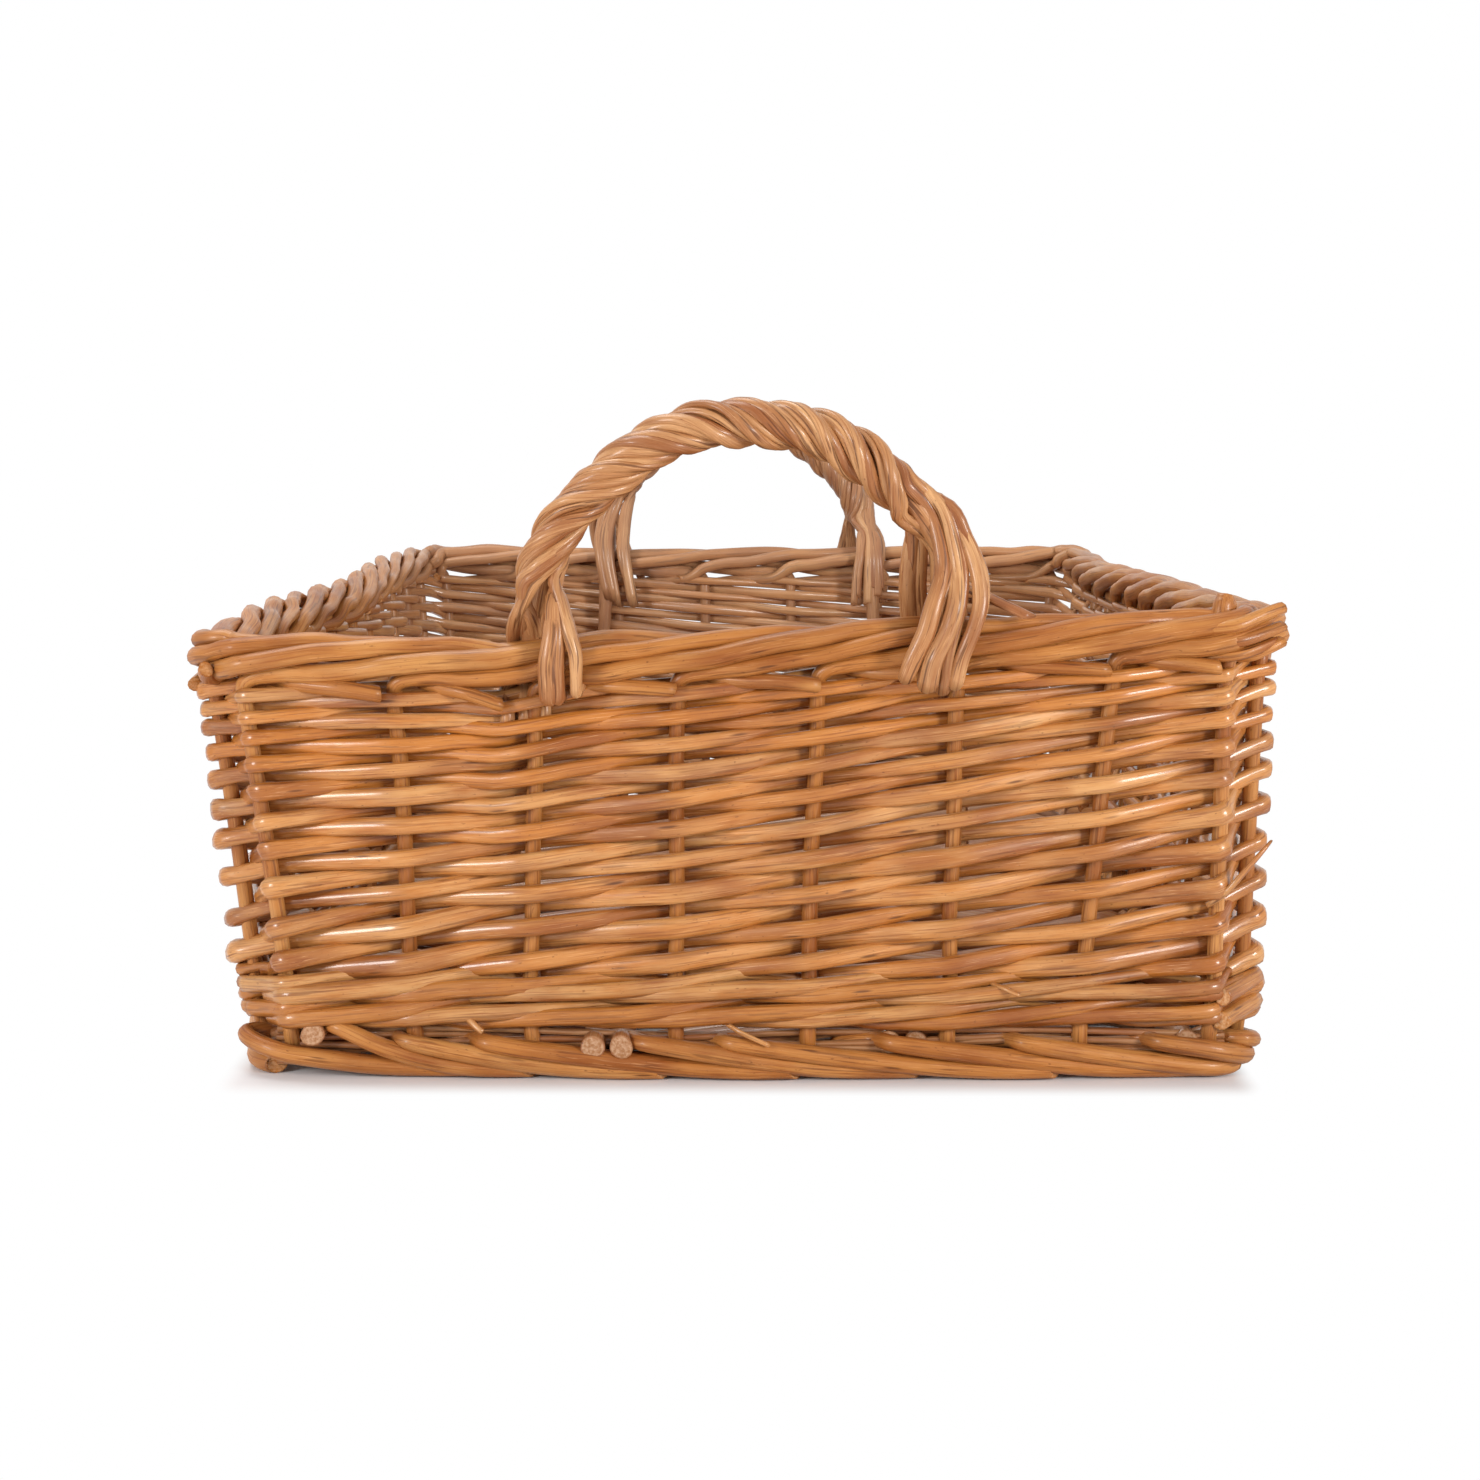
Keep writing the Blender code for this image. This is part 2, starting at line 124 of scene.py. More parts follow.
def fuller(u):
    """Thickness of a rod that kinks round a corner stake: 1 + swell * exp(-(distance / reach) squared)."""
    apart = np.abs(u[:, None] - CORNER_STAKES[None]).min(axis=1)
    return 1 + KINK_SWELL * np.exp(-(apart / KINK_REACH) ** 2)


# The front end's own unevenness: how far each stake stands to the right, at its top and at its foot, and
# how much the rim rises at each place across.
STAKE_AT = np.concatenate([[-1.16], np.linspace(-1.0, 1.0, 8), [1.16]]) * (LINE_X - CORNER)
SHIFT_TOP = np.array([0.0, -0.4, 3.4, 3.3, 3.5, 3.7, 3.3, 8.0, -2.2, 0.0]) * MM
SHIFT_LOW = np.array([1.0, 4.9, 3.0, -3.3, 1.7, 1.6, 4.7, 4.7, 4.1, 2.0]) * MM
RIM_AT = np.array([-200, -165, -130, -104, -88, -62, 0, 61.5, 130, 190]) * MM
RIM_RISE = np.array([0.8, 0.2, -0.7, -2.2, -4.4, -1.2, 0.4, 4.6, 7.0, 9.0]) * MM
FRONT_BEGINS = (0.215, 0.275)
BACK_BEGINS = (-0.275, -0.2)
LEAN_FROM, LEAN_OVER = 0.035, 0.105
HANDLE_STILL_Z, HANDLE_FADE = 0.2, 0.04
RIM_RISES_OVER_Z, RIM_RISES_OVER_Y = (0.05, 0.15), (-0.10, 0.29)
SIT_BACK = 0.0030
SIT_BACK_BEGINS, SIT_BACK_ENDS = (0.07, 0.15), (0.15, 0.19)
FOOT_SWELL, FOOT_SWELL_ENDS = 0.0045, (0.01, 0.05)
SWELL_HALF = 0.18
MIDDLE_RISE = 0.0036
MIDDLE_BEGINS, MIDDLE_ENDS = (0.045, 0.080), (0.115, 0.148)
SIDE_WANDER = 0.0014
HEIGHT_WANDER = 0.0012


def soft(value, low, high):
    """Smooth step from 0 at low to 1 at high: s * s * (3 - 2 s)."""
    share = np.clip((value - low) / (high - low), 0, 1)
    return share * share * (3 - 2 * share)


def settle(spots):
    """The basket's own unevenness: a slow smooth shift of every point.

    On the front end each stake leans a little sideways, the rim sinks at the left leg of the handle and
    rises to the right, the wall sits back at its right and its foot swells forward in the middle. The long
    sides and the back wander by a slow sine of the place along them.
    """
    x, y, z = spots[..., 0], spots[..., 1], spots[..., 2]
    front = soft(-y, *FRONT_BEGINS)
    back = 1 - soft(-y, *BACK_BEGINS)
    height = np.clip((z - LEAN_FROM) / LEAN_OVER, 0, 1)
    sideways = np.interp(x, STAKE_AT, SHIFT_TOP) * height + np.interp(x, STAKE_AT, SHIFT_LOW) * (1 - height)
    sideways = sideways * np.clip((HANDLE_STILL_Z - z) / HANDLE_FADE, 0, 1)
    rise = soft(z, *RIM_RISES_OVER_Z) * soft(-y, *RIM_RISES_OVER_Y) * np.interp(x, RIM_AT, RIM_RISE)
    sit = SIT_BACK * soft(x, *SIT_BACK_BEGINS) * (1 - soft(x, *SIT_BACK_ENDS))
    swell = FOOT_SWELL * (1 - (x / SWELL_HALF) ** 2).clip(0, 1) * (1 - soft(z, *FOOT_SWELL_ENDS))
    middle = soft(z, *MIDDLE_BEGINS) * (1 - soft(z, *MIDDLE_ENDS))
    moved = spots.copy()
    moved[..., 0] += front * sideways + (1 - front) * SIDE_WANDER * np.sin(y * 21 + 1.0) * height
    moved[..., 1] += front * (sit * height - swell) + back * SIDE_WANDER * np.sin(x * 30) * height
    moved[..., 2] += (rise + HEIGHT_WANDER * height * np.sin(y * 17 + x * 9)
                      + MIDDLE_RISE * (x / SWELL_HALF) ** 2 * middle * front)
    return moved


def between(values, at):
    """Read evenly spaced values at positions in 0..count-1, with a smooth Catmull-Rom curve."""
    values = np.asarray(values, float)
    last = len(values) - 1
    low = np.clip(np.floor(at).astype(int), 0, last - 1)
    t = (at - low)[:, None] if values.ndim > 1 else at - low
    p0, p1 = values[np.maximum(low - 1, 0)], values[low]
    p2, p3 = values[low + 1], values[np.minimum(low + 2, last)]
    return 0.5 * (2 * p1 + (p2 - p0) * t + (2 * p0 - 5 * p1 + 4 * p2 - p3) * t ** 2
                  + (3 * p1 - p0 - 3 * p2 + p3) * t ** 3)


def ripple(steps, size, knots, seed):
    """A slow random wave along a rod: smooth curve through a few random values."""
    values = np.random.RandomState(seed).uniform(-size, size, knots)
    return between(values, np.linspace(0, knots - 1, steps))


CAP_SHRINK = 0.84
CAP_DEPTH, CAP_MIDDLE_DEPTH = 0.04, 0.05


def rod(path, outward, radius, sides=10, cut=(0.0, 0.0), lump=0.02, seed=0, tone=0.5, flat=1.0, square=1.0):
    """One closed round rod carried along a path.

    Each ring lies in the plane square to the path: centre + radius * (cos a * normal + sin a * binormal),
    the normal being the outward direction made square to the path. The end rings are slid along the path
    by cut * cos a, so that the ends are sliced at a slant, then closed by a smaller ring and a point.
    Flat below 1 squeezes the rod along its normal. Square below 1 raises cos and sin to that power, sign
    kept, which flattens its four faces. Returns vertices, faces of four and of three corners, the place
    in the straightened rod, the tone, and how far each vertex is on a cut end.
    """
    steps = len(path)
    tangent = np.gradient(path, axis=0)
    tangent /= np.linalg.norm(tangent, axis=1)[:, None]
    normal = outward - np.sum(outward * tangent, 1)[:, None] * tangent
    normal /= np.linalg.norm(normal, axis=1)[:, None]
    binormal = np.cross(tangent, normal)
    angle = np.arange(sides) * 2 * np.pi / sides
    radius = np.broadcast_to(np.asarray(radius, float), steps)
    local = np.random.RandomState(seed)
    wobble = 1 + lump * np.cos(angle[None] * 2 + local.uniform(0, 6)) * 1.6
    wobble = wobble + lump * np.cos(angle[None] * 3 + np.linspace(0, local.uniform(-9, 9), steps)[:, None])
    size = radius[:, None] * wobble
    across = np.sign(np.cos(angle)) * np.abs(np.cos(angle)) ** square
    along = np.sign(np.sin(angle)) * np.abs(np.sin(angle)) ** square
    ring = (path[:, None] + size[..., None] * (flat * across[None, :, None] * normal[:, None]
            + along[None, :, None] * binormal[:, None]))
    length = np.concatenate([[0.0], np.cumsum(np.linalg.norm(np.diff(path, axis=0), axis=1))])
    lengthwise = np.repeat(length[:, None], sides, 1)
    straight = np.stack([size * np.cos(angle), size * np.sin(angle), lengthwise], -1)
    rings, coords, ends = [ring], [straight], [np.zeros((steps, sides))]
    for at, direction, slant in ((0, -1, cut[0]), (steps - 1, 1, cut[1])):
        slide = (slant * np.cos(angle + local.uniform(-0.5, 0.5)))[:, None] * tangent[at]
        ring[at] += slide
        inner = path[at] + CAP_SHRINK * (ring[at] - path[at])
        inner = inner + direction * CAP_DEPTH * radius[at] * tangent[at]
        middle = path[at] + direction * CAP_MIDDLE_DEPTH * radius[at] * tangent[at]
        rings.append(np.concatenate([inner, middle[None]])[None])
        capped = np.concatenate([straight[at] * (CAP_SHRINK, CAP_SHRINK, 1), [[0, 0, length[at]]]])
        coords.append(capped[None])
        ends.append(np.ones((1, sides + 1)))
    verts = np.concatenate([part.reshape(-1, 3) for part in rings])
    coord = np.concatenate([part.reshape(-1, 3) for part in coords]) + local.uniform(-3, 3, 3)
    on_cut = np.concatenate([part.reshape(-1) for part in ends])
    here = np.arange(steps - 1)[:, None] * sides + np.arange(sides)[None]
    right = np.arange(steps - 1)[:, None] * sides + (np.arange(sides)[None] + 1) % sides
    quads = np.stack([here, right, right + sides, here + sides], -1).reshape(-1, 4)
    k = np.arange(sides)
    k2 = (k + 1) % sides
    first_cap, last_cap = steps * sides, steps * sides + sides + 1
    top = (steps - 1) * sides
    quads = np.concatenate([quads,
                            np.stack([k2, k, first_cap + k, first_cap + k2], -1),
                            np.stack([top + k, top + k2, last_cap + k2, last_cap + k], -1)])
    tris = np.concatenate([np.stack([first_cap + k2, first_cap + k, np.full(sides, first_cap + sides)], -1),
                           np.stack([last_cap + k, last_cap + k2, np.full(sides, last_cap + sides)], -1)])
    return verts, quads, tris, coord, np.full(len(verts), tone), on_cut


def piece(name, rods, material, nodes):
    """Join rods into one mesh object, with its attributes, and tie it to the CAD frame."""
    verts = np.concatenate([one[0] for one in rods])
    shift = np.cumsum([0] + [len(one[0]) for one in rods[:-1]])
    quads = np.concatenate([one[1] + at for one, at in zip(rods, shift)])
    tris = np.concatenate([one[2] + at for one, at in zip(rods, shift)])
    mesh = bpy.data.meshes.new(name)
    mesh.vertices.add(len(verts))
    mesh.vertices.foreach_set("co", verts.astype(np.float32).ravel())
    corners = np.concatenate([quads.ravel(), tris.ravel()])
    mesh.loops.add(len(corners))
    mesh.loops.foreach_set("vertex_index", corners.astype(np.int32))
    starts = np.concatenate([np.arange(len(quads)) * 4, len(quads) * 4 + np.arange(len(tris)) * 3])
    mesh.polygons.add(len(starts))
    mesh.polygons.foreach_set("loop_start", starts.astype(np.int32))
    on_cut = np.concatenate([one[5] for one in rods])
    crisp = (on_cut[corners[starts]] > 0.5) | (on_cut[corners[starts + 2]] > 0.5)
    mesh.polygons.foreach_set("use_smooth", ~crisp)
    mesh.update(calc_edges=True)
    for label, kind, at in (("straight", "FLOAT_VECTOR", 3), ("tone", "FLOAT", 4), ("cut_end", "FLOAT", 5)):
        values = np.concatenate([one[at] for one in rods]).astype(np.float32)
        field = mesh.attributes.new(label, kind, "POINT")
        field.data.foreach_set("vector" if at == 3 else "value", values.ravel())
    mesh.validate()
    made = bpy.data.objects.new(name, mesh)
    bpy.context.scene.collection.objects.link(made)
    mesh.materials.append(material)
    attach(made, "root")
    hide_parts(*nodes)


# Noise in the wood: how far it is squeezed across and along the straightened rod, its detail and roughness.
STREAKS = ((1500, 1500, 36), 3.0, 0.6)
# The pale fibre streaks below are partly grain and partly painted highlights drawn along the rods.
FIBRES_AND_PAINTED_GLINTS = ((3600, 3600, 70), 2.0, 0.6)
MOTTLE = ((200, 200, 40), 3.0, 0.6)
PATCHES = ((60, 60, 22), 2.0, 0.5)
SPECKS = ((1100, 1100, 520), 1.0, 0.5)
SPLITS = ((820, 820, 38), 2.0, 0.4)
YEAR_RINGS = ((900, 900, 1), 2.0, 0.5)
KNOT_SCALE = (190, 190, 24)
FAR_Y = 0.28
VARNISH_TINT = (1.0, 0.90, 0.76, 1.0)
VARNISH_SHINE, VARNISH_BLUR = 0.30, 0.19
GRAIN_STRENGTH, GRAIN_DEPTH = 0.55, 0.0004


def tinted(colour, gain, lift=0.0):
    """A colour made darker or paler: gain * colour + lift."""
    return tuple(gain * part + lift for part in colour)


def varnished_willow(name, pale, honey, brown, rough, far_painted_light=0.42, cracks=0.35, coat=0.58):
    """Peeled willow under varnish: streaks along the rod, mottling, dark specks and knots, pale cut ends.

    The argument after rough sets how much paler the colour is painted towards the far end, as painted light
    for the brighter inside of the far wall; cracks says how dark the fine splits are.
    """
    made = bpy.data.materials.new(name)
    made.use_nodes = True
    tree = made.node_tree
    nodes, links = tree.nodes, tree.links
    shader = nodes["Principled BSDF"]

    def add(kind, **values):
        node = nodes.new(kind)
        for key, value in values.items():
            setattr(node, key, value)
        return node

    def stretch(vector, scale):
        node = add("ShaderNodeMapping")
        node.inputs["Scale"].default_value = scale
        links.new(vector, node.inputs["Vector"])
        return node.outputs["Vector"]

    def noise(vector, pattern):
        scale, detail, roughness = pattern
        node = add("ShaderNodeTexNoise")
        node.inputs["Scale"].default_value = 1.0
        node.inputs["Detail"].default_value = detail
        node.inputs["Roughness"].default_value = roughness
        links.new(stretch(vector, scale), node.inputs["Vector"])
        return node.outputs["Fac"]

    def ramp(value, low, high, to_low=0.0, to_high=1.0):
        node = add("ShaderNodeMapRange")
        for key, number in (("From Min", low), ("From Max", high), ("To Min", to_low), ("To Max", to_high)):
            node.inputs[key].default_value = number
        links.new(value, node.inputs["Value"])
        return node.outputs["Result"]

    def mix(share, first, second):
        node = add("ShaderNodeMix", data_type="RGBA")
        links.new(share, node.inputs["Factor"])
        for socket, value in ((node.inputs["A"], first), (node.inputs["B"], second)):
            if isinstance(value, tuple):
                socket.default_value = (*value, 1.0)
            else:
                links.new(value, socket)
        return node.outputs["Result"]

    straight = add("ShaderNodeAttribute", attribute_name="straight").outputs["Vector"]
    tone = add("ShaderNodeAttribute", attribute_name="tone").outputs["Fac"]
    cut_end = add("ShaderNodeAttribute", attribute_name="cut_end").outputs["Fac"]
    streaks, mottle = noise(straight, STREAKS), noise(straight, MOTTLE)
    knots = add("ShaderNodeTexVoronoi", feature="F1")
    knots.inputs["Scale"].default_value = 1.0
    links.new(stretch(straight, KNOT_SCALE), knots.inputs["Vector"])
    place = add("ShaderNodeSeparateXYZ")
    links.new(add("ShaderNodeTexCoord").outputs["Object"], place.inputs["Vector"])

    body = mix(ramp(tone, 0.0, 1.0), pale, honey)
    # Each layer: its pattern, the two values of it between which the cover changes, the cover at both,
    # and its colour.
    layers = ((mottle, (0.40, 0.66), (0.0, 0.80), honey),
              (noise(straight, PATCHES), (0.44, 0.66), (0.0, 0.70), brown),
              (streaks, (0.50, 0.70), (0.0, 0.70), brown),
              # Pale fibre streaks: partly grain, partly painted highlights along the rods.
              (noise(straight, FIBRES_AND_PAINTED_GLINTS), (0.40, 0.26), (0.0, 0.55), tinted(pale, 1.25, 0.06)),
              (noise(straight, SPLITS), (0.625, 0.660), (0.0, cracks), tinted(brown, 0.40)),
              (noise(straight, SPECKS), (0.70, 0.80), (0.0, 0.55), tinted(brown, 0.45)),
              (knots.outputs["Distance"], (0.05, 0.11), (0.75, 0.0), tinted(brown, 0.35)),
              # Painted light: the far half is painted paler towards +Y, standing in for brighter light on the
              # far wall's inside.
              (place.outputs["Y"], (0.0, FAR_Y), (0.0, far_painted_light), tinted(pale, 0.75, 0.15)))
    for pattern, limits, strength, colour in layers:
        body = mix(ramp(pattern, *limits, *strength), body, colour)
    wood = mix(ramp(noise(straight, YEAR_RINGS), 0.35, 0.65), tinted(pale, 1.05, 0.06), honey)
    body = mix(ramp(cut_end, 0.3, 1.0, 0.0, 0.9), body, wood)
    links.new(body, shader.inputs["Base Color"])
    links.new(ramp(mottle, 0.3, 0.7, rough - 0.06, rough + 0.12), shader.inputs["Roughness"])
    shader.inputs["Specular Tint"].default_value = VARNISH_TINT
    shader.inputs["Specular IOR Level"].default_value = VARNISH_SHINE
    shader.inputs["Coat Weight"].default_value = coat
    shader.inputs["Coat Roughness"].default_value = VARNISH_BLUR
    bump = add("ShaderNodeBump")
    bump.inputs["Strength"].default_value = GRAIN_STRENGTH
    bump.inputs["Distance"].default_value = GRAIN_DEPTH
    links.new(streaks, bump.inputs["Height"])
    links.new(bump.outputs["Normal"], shader.inputs["Normal"])
    return made


PALE, HONEY, BROWN = (0.60, 0.310, 0.115), (0.48, 0.163, 0.024), (0.20, 0.043, 0.005)
border_skin = varnished_willow("border_willow", (0.52, 0.243, 0.073), (0.42, 0.150, 0.029), BROWN,
                               rough=0.42, far_painted_light=0.40, cracks=0.45, coat=0.18)
weave_skin = varnished_willow("weave_willow", PALE, HONEY, BROWN, rough=0.34, far_painted_light=0.32)
# The wale's willow is a darker copy of the weave's colours, mostly about nine tenths as bright: painted shade
# on the low wale rows.
wale_skin_painted_shade = varnished_willow("wale_willow_painted_shade", (0.54, 0.275, 0.098), (0.42, 0.148, 0.025), BROWN,
                             rough=0.34, far_painted_light=0.30)
handle_skin = varnished_willow("handle_willow", (0.64, 0.350, 0.155), (0.40, 0.170, 0.060), BROWN,
                               rough=0.40, far_painted_light=0.20, cracks=0.7, coat=0.30)
base_skin = varnished_willow("base_willow", (0.42, 0.22, 0.10), (0.31, 0.13, 0.045), BROWN, rough=0.48)

# The foot of a stake, point by point: share of its run, out and height in millimetres, thickness as a share
# of FOOT_R, and how much the point takes of the push and of the steepness that some feet have.
FOOT_SHAPE = ((1.0, 1.2, 3.75, 0.94, 1, 0),
              (0.85, 1.8, 3.8, 0.98, 1, 0),
              (0.66, 2.8, 4.7, 1.04, 0, 0),
              (0.46, 4.2, 7.2, 1.04, 0, 0),
              (0.24, 5.6, 10.7, 0.98, 0, 0.3),
              (0.07, 6.1, 13.5, 0.92, 0, 1),
              (0.0, 4.4, 14.4, 0.86, 0, 1.2),
              (-0.045, -2.8, 14.0, 0.86, 0, 1),
              (-0.15, -5.6, 12.0, 0.86, 0, 0))
# Stakes whose foot has a place and a length of its own, in intervals; the others take random ones.
FOOT_START = {38: 1.20, 39: 1.37, 0: 0.91, 1: 0.60, 2: 0.76, 3: 0.40, 4: 0.59, 5: 0.55, 6: 0.60}
FOOT_LENGTH = {39: 1.6, 0: 2.0, 1: 2.3, 2: 2.05, 3: 2.43, 4: 2.36}
STEEP_FEET, STEEPNESS = (39,), 4.5
FORWARD_FEET, FORWARD_PUSH = (0, 1, 3), 1.6
# From the foot round to the upright: u from the stake, out and height.
HEEL = ((0.18, -5.6e-3, 0.0088), (0.03, -2.2e-3, 0.0098), (0.0, -0.2e-3, 0.0150))
HEEL_R = 0.0031
UPRIGHT_Z = (0.034, 0.060, 0.090, 0.118, 0.138)
UPRIGHT_WANDER = 0.012
NECK_U, NECK_OUT, NECK_DROP = 0.03, 0.6e-3, 0.002
ROLL_INTERVALS = 5
ROLL_SAMPLES = 4
ROLL_SQUASH = 0.92
STRAND_WANDER = 0.0007
STRAND_SHARE = 0.92
# Stakes whose tail has a length of its own, in intervals; the others take random ones.
TAIL_END = {36: 0.92, 37: 0.77, 38: 0.98, 39: 0.99, 1: 0.95, 2: 0.90}
# The tail of a stake, point by point: share of its run, out and up as shares of BORDER_R, and how much the
# point takes of each tail's random drop.
TAIL_SHAPE = ((0.22, -0.55, -1.25, 0), (0.46, 0.25, -1.50, 0), (0.72, 0.92, -1.60, 0), (1.0, 1.16, -1.84, 1))
CORNER_TAIL = ((0.25, -0.30, -1.20, 0), (0.50, 0.90, -1.25, 0), (0.75, 1.45, -0.95, 0), (1.0, 1.85, -0.55, 2))
CORNER_TAIL_END = 0.62
TAIL_THIN = 0.78


def stake_route(index):
    """Control points (u, out, z, radius) of one stake: butt in the foot, upright, border strand, tail.

    The foot part is followed from its slanted cut, which lies low and to the right under the next ones,
    up to the left over about two intervals to where it goes in behind the stakes. The strand turns a circle
    of radius BORDER_R in five intervals, starting at the bottom and going up the outside; its tail leaves
    the circle after four.
    """
    local = np.random.RandomState(100 + index)
    rows = []
    start = FOOT_START.get(index, 0.60 + local.uniform(-0.14, 0.14))
    length = FOOT_LENGTH.get(index, 2.1 + local.uniform(-0.2, 0.3))
    steep = STEEPNESS if index in STEEP_FEET else 0.0
    forward = FORWARD_PUSH if index in FORWARD_FEET else 0.0
    for share, out, z, size, pushed, steepened in FOOT_SHAPE:
        out, z = out + pushed * forward, z + steepened * steep
        rows.append((index + start + length * share, out * MM, z * MM, FOOT_R * size))
    for u, out, z in HEEL:
        rows.append((index + u, out, z, HEEL_R))
    for z in UPRIGHT_Z:
        rows.append((index + local.uniform(-UPRIGHT_WANDER, UPRIGHT_WANDER), 0.0, z, STAKE_R))
    rows.append((index + NECK_U, NECK_OUT, BORDER_Z - BORDER_R - NECK_DROP, HEEL_R))
    last = 4 * ROLL_SAMPLES + 1
    wander = local.uniform(-1, 1, (last, 2)) * STRAND_WANDER
    stout = STRAND_SHARE * STRAND_R * local.uniform(0.88, 1.12)
    for step in range(1, last):
        age = step / ROLL_SAMPLES
        angle = 2 * np.pi * age / ROLL_INTERVALS - np.pi / 2
        out = BORDER_R * np.cos(angle) + wander[step, 0]
        up = ROLL_SQUASH * BORDER_R * np.sin(angle) + wander[step, 1]
        rows.append((index + age, out, BORDER_Z + up, stout * (1.08 - 0.04 * age)))
    tip = TAIL_END.get(index, local.uniform(0.72, 1.0))
    drop = local.uniform(-0.12, 0.10)
    tail = TAIL_SHAPE
    if corner_after(index + 4):
        tail, tip = CORNER_TAIL, CORNER_TAIL_END
    for share, out, up, dropped in tail:
        up = up + dropped * drop
        rows.append((index + 4 + share * tip, out * BORDER_R, BORDER_Z + up * BORDER_R, stout * TAIL_THIN))
    return np.array(rows)


CORNER_CUT = 0.0046
BORDER_DEPTH = 0.012


def follow(rows, per):
    """Fill control rows with per points between each pair, then place them on the wall.

    At the height of the border the corners are cut: the point moves in by CORNER_CUT * 4 s (1 - s), where
    s is the share of the corner that is passed.
    """
    at = np.linspace(0, len(rows) - 1, (len(rows) - 1) * per + 1)
    fine = between(rows, at)
    spots, outward = wall(fine[:, 0], fine[:, 1], fine[:, 2])
    first = np.floor(fine[:, 0]).astype(int)
    bend = 4 * (fine[:, 0] - first) * (1 - fine[:, 0] + first) * (fine[:, 2] > BORDER_Z - BORDER_DEPTH)
    cut_across = np.where(corner_after(first), bend, 0.0)
    return settle(spots - CORNER_CUT * cut_across[:, None] * outward), outward, fine[:, 3]


def stubs(tables, first_seed, per, sides, cut, lump, tone):
    """Short loose ends: each table has rows of u, then out, z and radius in millimetres."""
    made = []
    for seed, rows in enumerate(tables, start=first_seed):
        spots, outward, radius = follow(np.array(rows) * (1, MM, MM, MM), per)
        made.append(rod(spots, outward, radius, sides, cut, lump, seed, tone))
    return made


# A knob and three cut ends at the right front corner of the rim, one table each.
KNOB_STAKE = 7
KNOB = (((6.93, -1.5, 156, 3.6), (6.94, -3.5, 161, 4.3), (6.95, -5, 165.5, 4.5), (6.95, -5.6, 168.4, 3.4)),
        ((6.60, 3, 156.5, 2.9), (7.00, 6.5, 158, 2.9), (7.30, 8.5, 161, 2.7), (7.62, 11, 164.0, 2.5)),
        ((6.70, 4, 152.5, 2.5), (7.05, 7.5, 153, 2.5), (7.35, 10, 155, 2.3), (7.62, 12, 157.5, 2.1)),
        ((6.80, 3, 147.0, 2.0), (7.10, 7, 148, 2.0), (7.35, 9.5, 150, 1.9), (7.55, 11, 152, 1.8)))
STAKE_CUT = (0.0028, 0.0016)

for index in range(STAKES):
    side, place = SIDE_OF[index], index - sum(PITCH_COUNT[:SIDE_OF[index]])
    label = "stake_" + ("front", "right", "back", "left")[side] + "_" + str(place + 1)
    spots, outward, radius = follow(stake_route(index), 4)
    radius = radius * (1 + ripple(len(radius), 0.05, 9, 300 + index))
    rods = [rod(spots, outward, radius, 12, STAKE_CUT, 0.025, 500 + index, rng.uniform(0.1, 0.9))]
    if index == KNOB_STAKE:
        rods += stubs(KNOB, 90, 5, 10, (0, 0.0008), 0.04, 0.5)
    piece("willow_" + label, rods, border_skin, [label])

WEAVER_SPAN = (-0.95, 19.35)
WEAVER_TAPER = ((-1, 2, 8, 14, 19), (0.0038, 0.0036, 0.0031, 0.0027, 0.0023))
WEAVER_LOW_Z = 0.0433
WEAVER_CLIMB, WEAVER_CLIMB_LOSS = 0.0068, 0.000076
WEAVER_RIPPLE = 0.0009
TURN_ROUNDING = 0.985
WEAVER_FLAT, WEAVER_SQUARE = 0.80, 0.84
# Thin loose ends that stand out of the front weave, one table each.
SPRIGS = (((6.90, 4, 63, 1.2), (7.10, 8, 69, 1.2), (7.30, 10, 76, 1.1), (7.52, 11.5, 82.5, 0.6)),
          ((1.42, 3, 25, 1.2), (1.50, 7, 23, 1.3), (1.56, 9, 21, 1.3), (1.61, 10, 19.5, 1.2)),
          ((3.36, 3, 22, 0.9), (3.48, 8, 19.5, 0.9), (3.60, 9.5, 17, 0.9), (3.70, 10, 15, 0.9)),
          ((5.30, 3, 36, 0.8), (5.38, 8, 35.5, 0.9), (5.44, 10, 34.5, 0.9), (5.50, 11, 33.5, 0.9)))


def weaver_route(start):
    """Samples of one weaving rod: in front of one stake and behind the next, one step up at each stake.

    Between stakes the rod runs straight: out = half * arcsin(k cos(pi * step)) / arcsin(k), where k a little
    below 1 rounds the turns. The height climbs in ever smaller steps, and each corner is crossed straight.
    """
    step = np.arange(*WEAVER_SPAN, 1 / SAMPLES)
    local = np.random.RandomState(900 + start)
    thick = local.uniform(0.86, 1.13)
    beat = np.cos(np.pi * step)
    radius = np.interp(step, *WEAVER_TAPER) * thick
    radius = radius * (0.97 + 0.05 * np.abs(beat) + ripple(len(step), 0.06, 26, 1300 + start))
    half = STAKE_R + 0.84 * radius
    z = WEAVER_LOW_Z + WEAVER_CLIMB * step - WEAVER_CLIMB_LOSS * step ** 2
    z = z + ripple(len(step), WEAVER_RIPPLE, 24, 1200 + start)
    out = half * np.arcsin(TURN_ROUNDING * beat) / math.asin(TURN_ROUNDING)
    spots, outward = hug(start + step, out, z)
    return settle(spots), outward, radius * fuller(start + step)


weavers = []
for start in range(STAKES):
    spots, outward, radius = weaver_route(start)
    weavers.append(rod(spots, outward, radius, 12, (0.002, 0.002), 0.04, 1500 + start, rng.uniform(0.0, 1.0),
                       WEAVER_FLAT, WEAVER_SQUARE))
weavers += stubs(SPRIGS, 81, 3, 8, (0.0005, 0.0008), 0.03, 0.1)
piece("weave_rods_leading", weavers[0::2], weave_skin, ["weaver_leading"])
piece("weave_rods_chasing", weavers[1::2], weave_skin, ["weaver_chasing"])

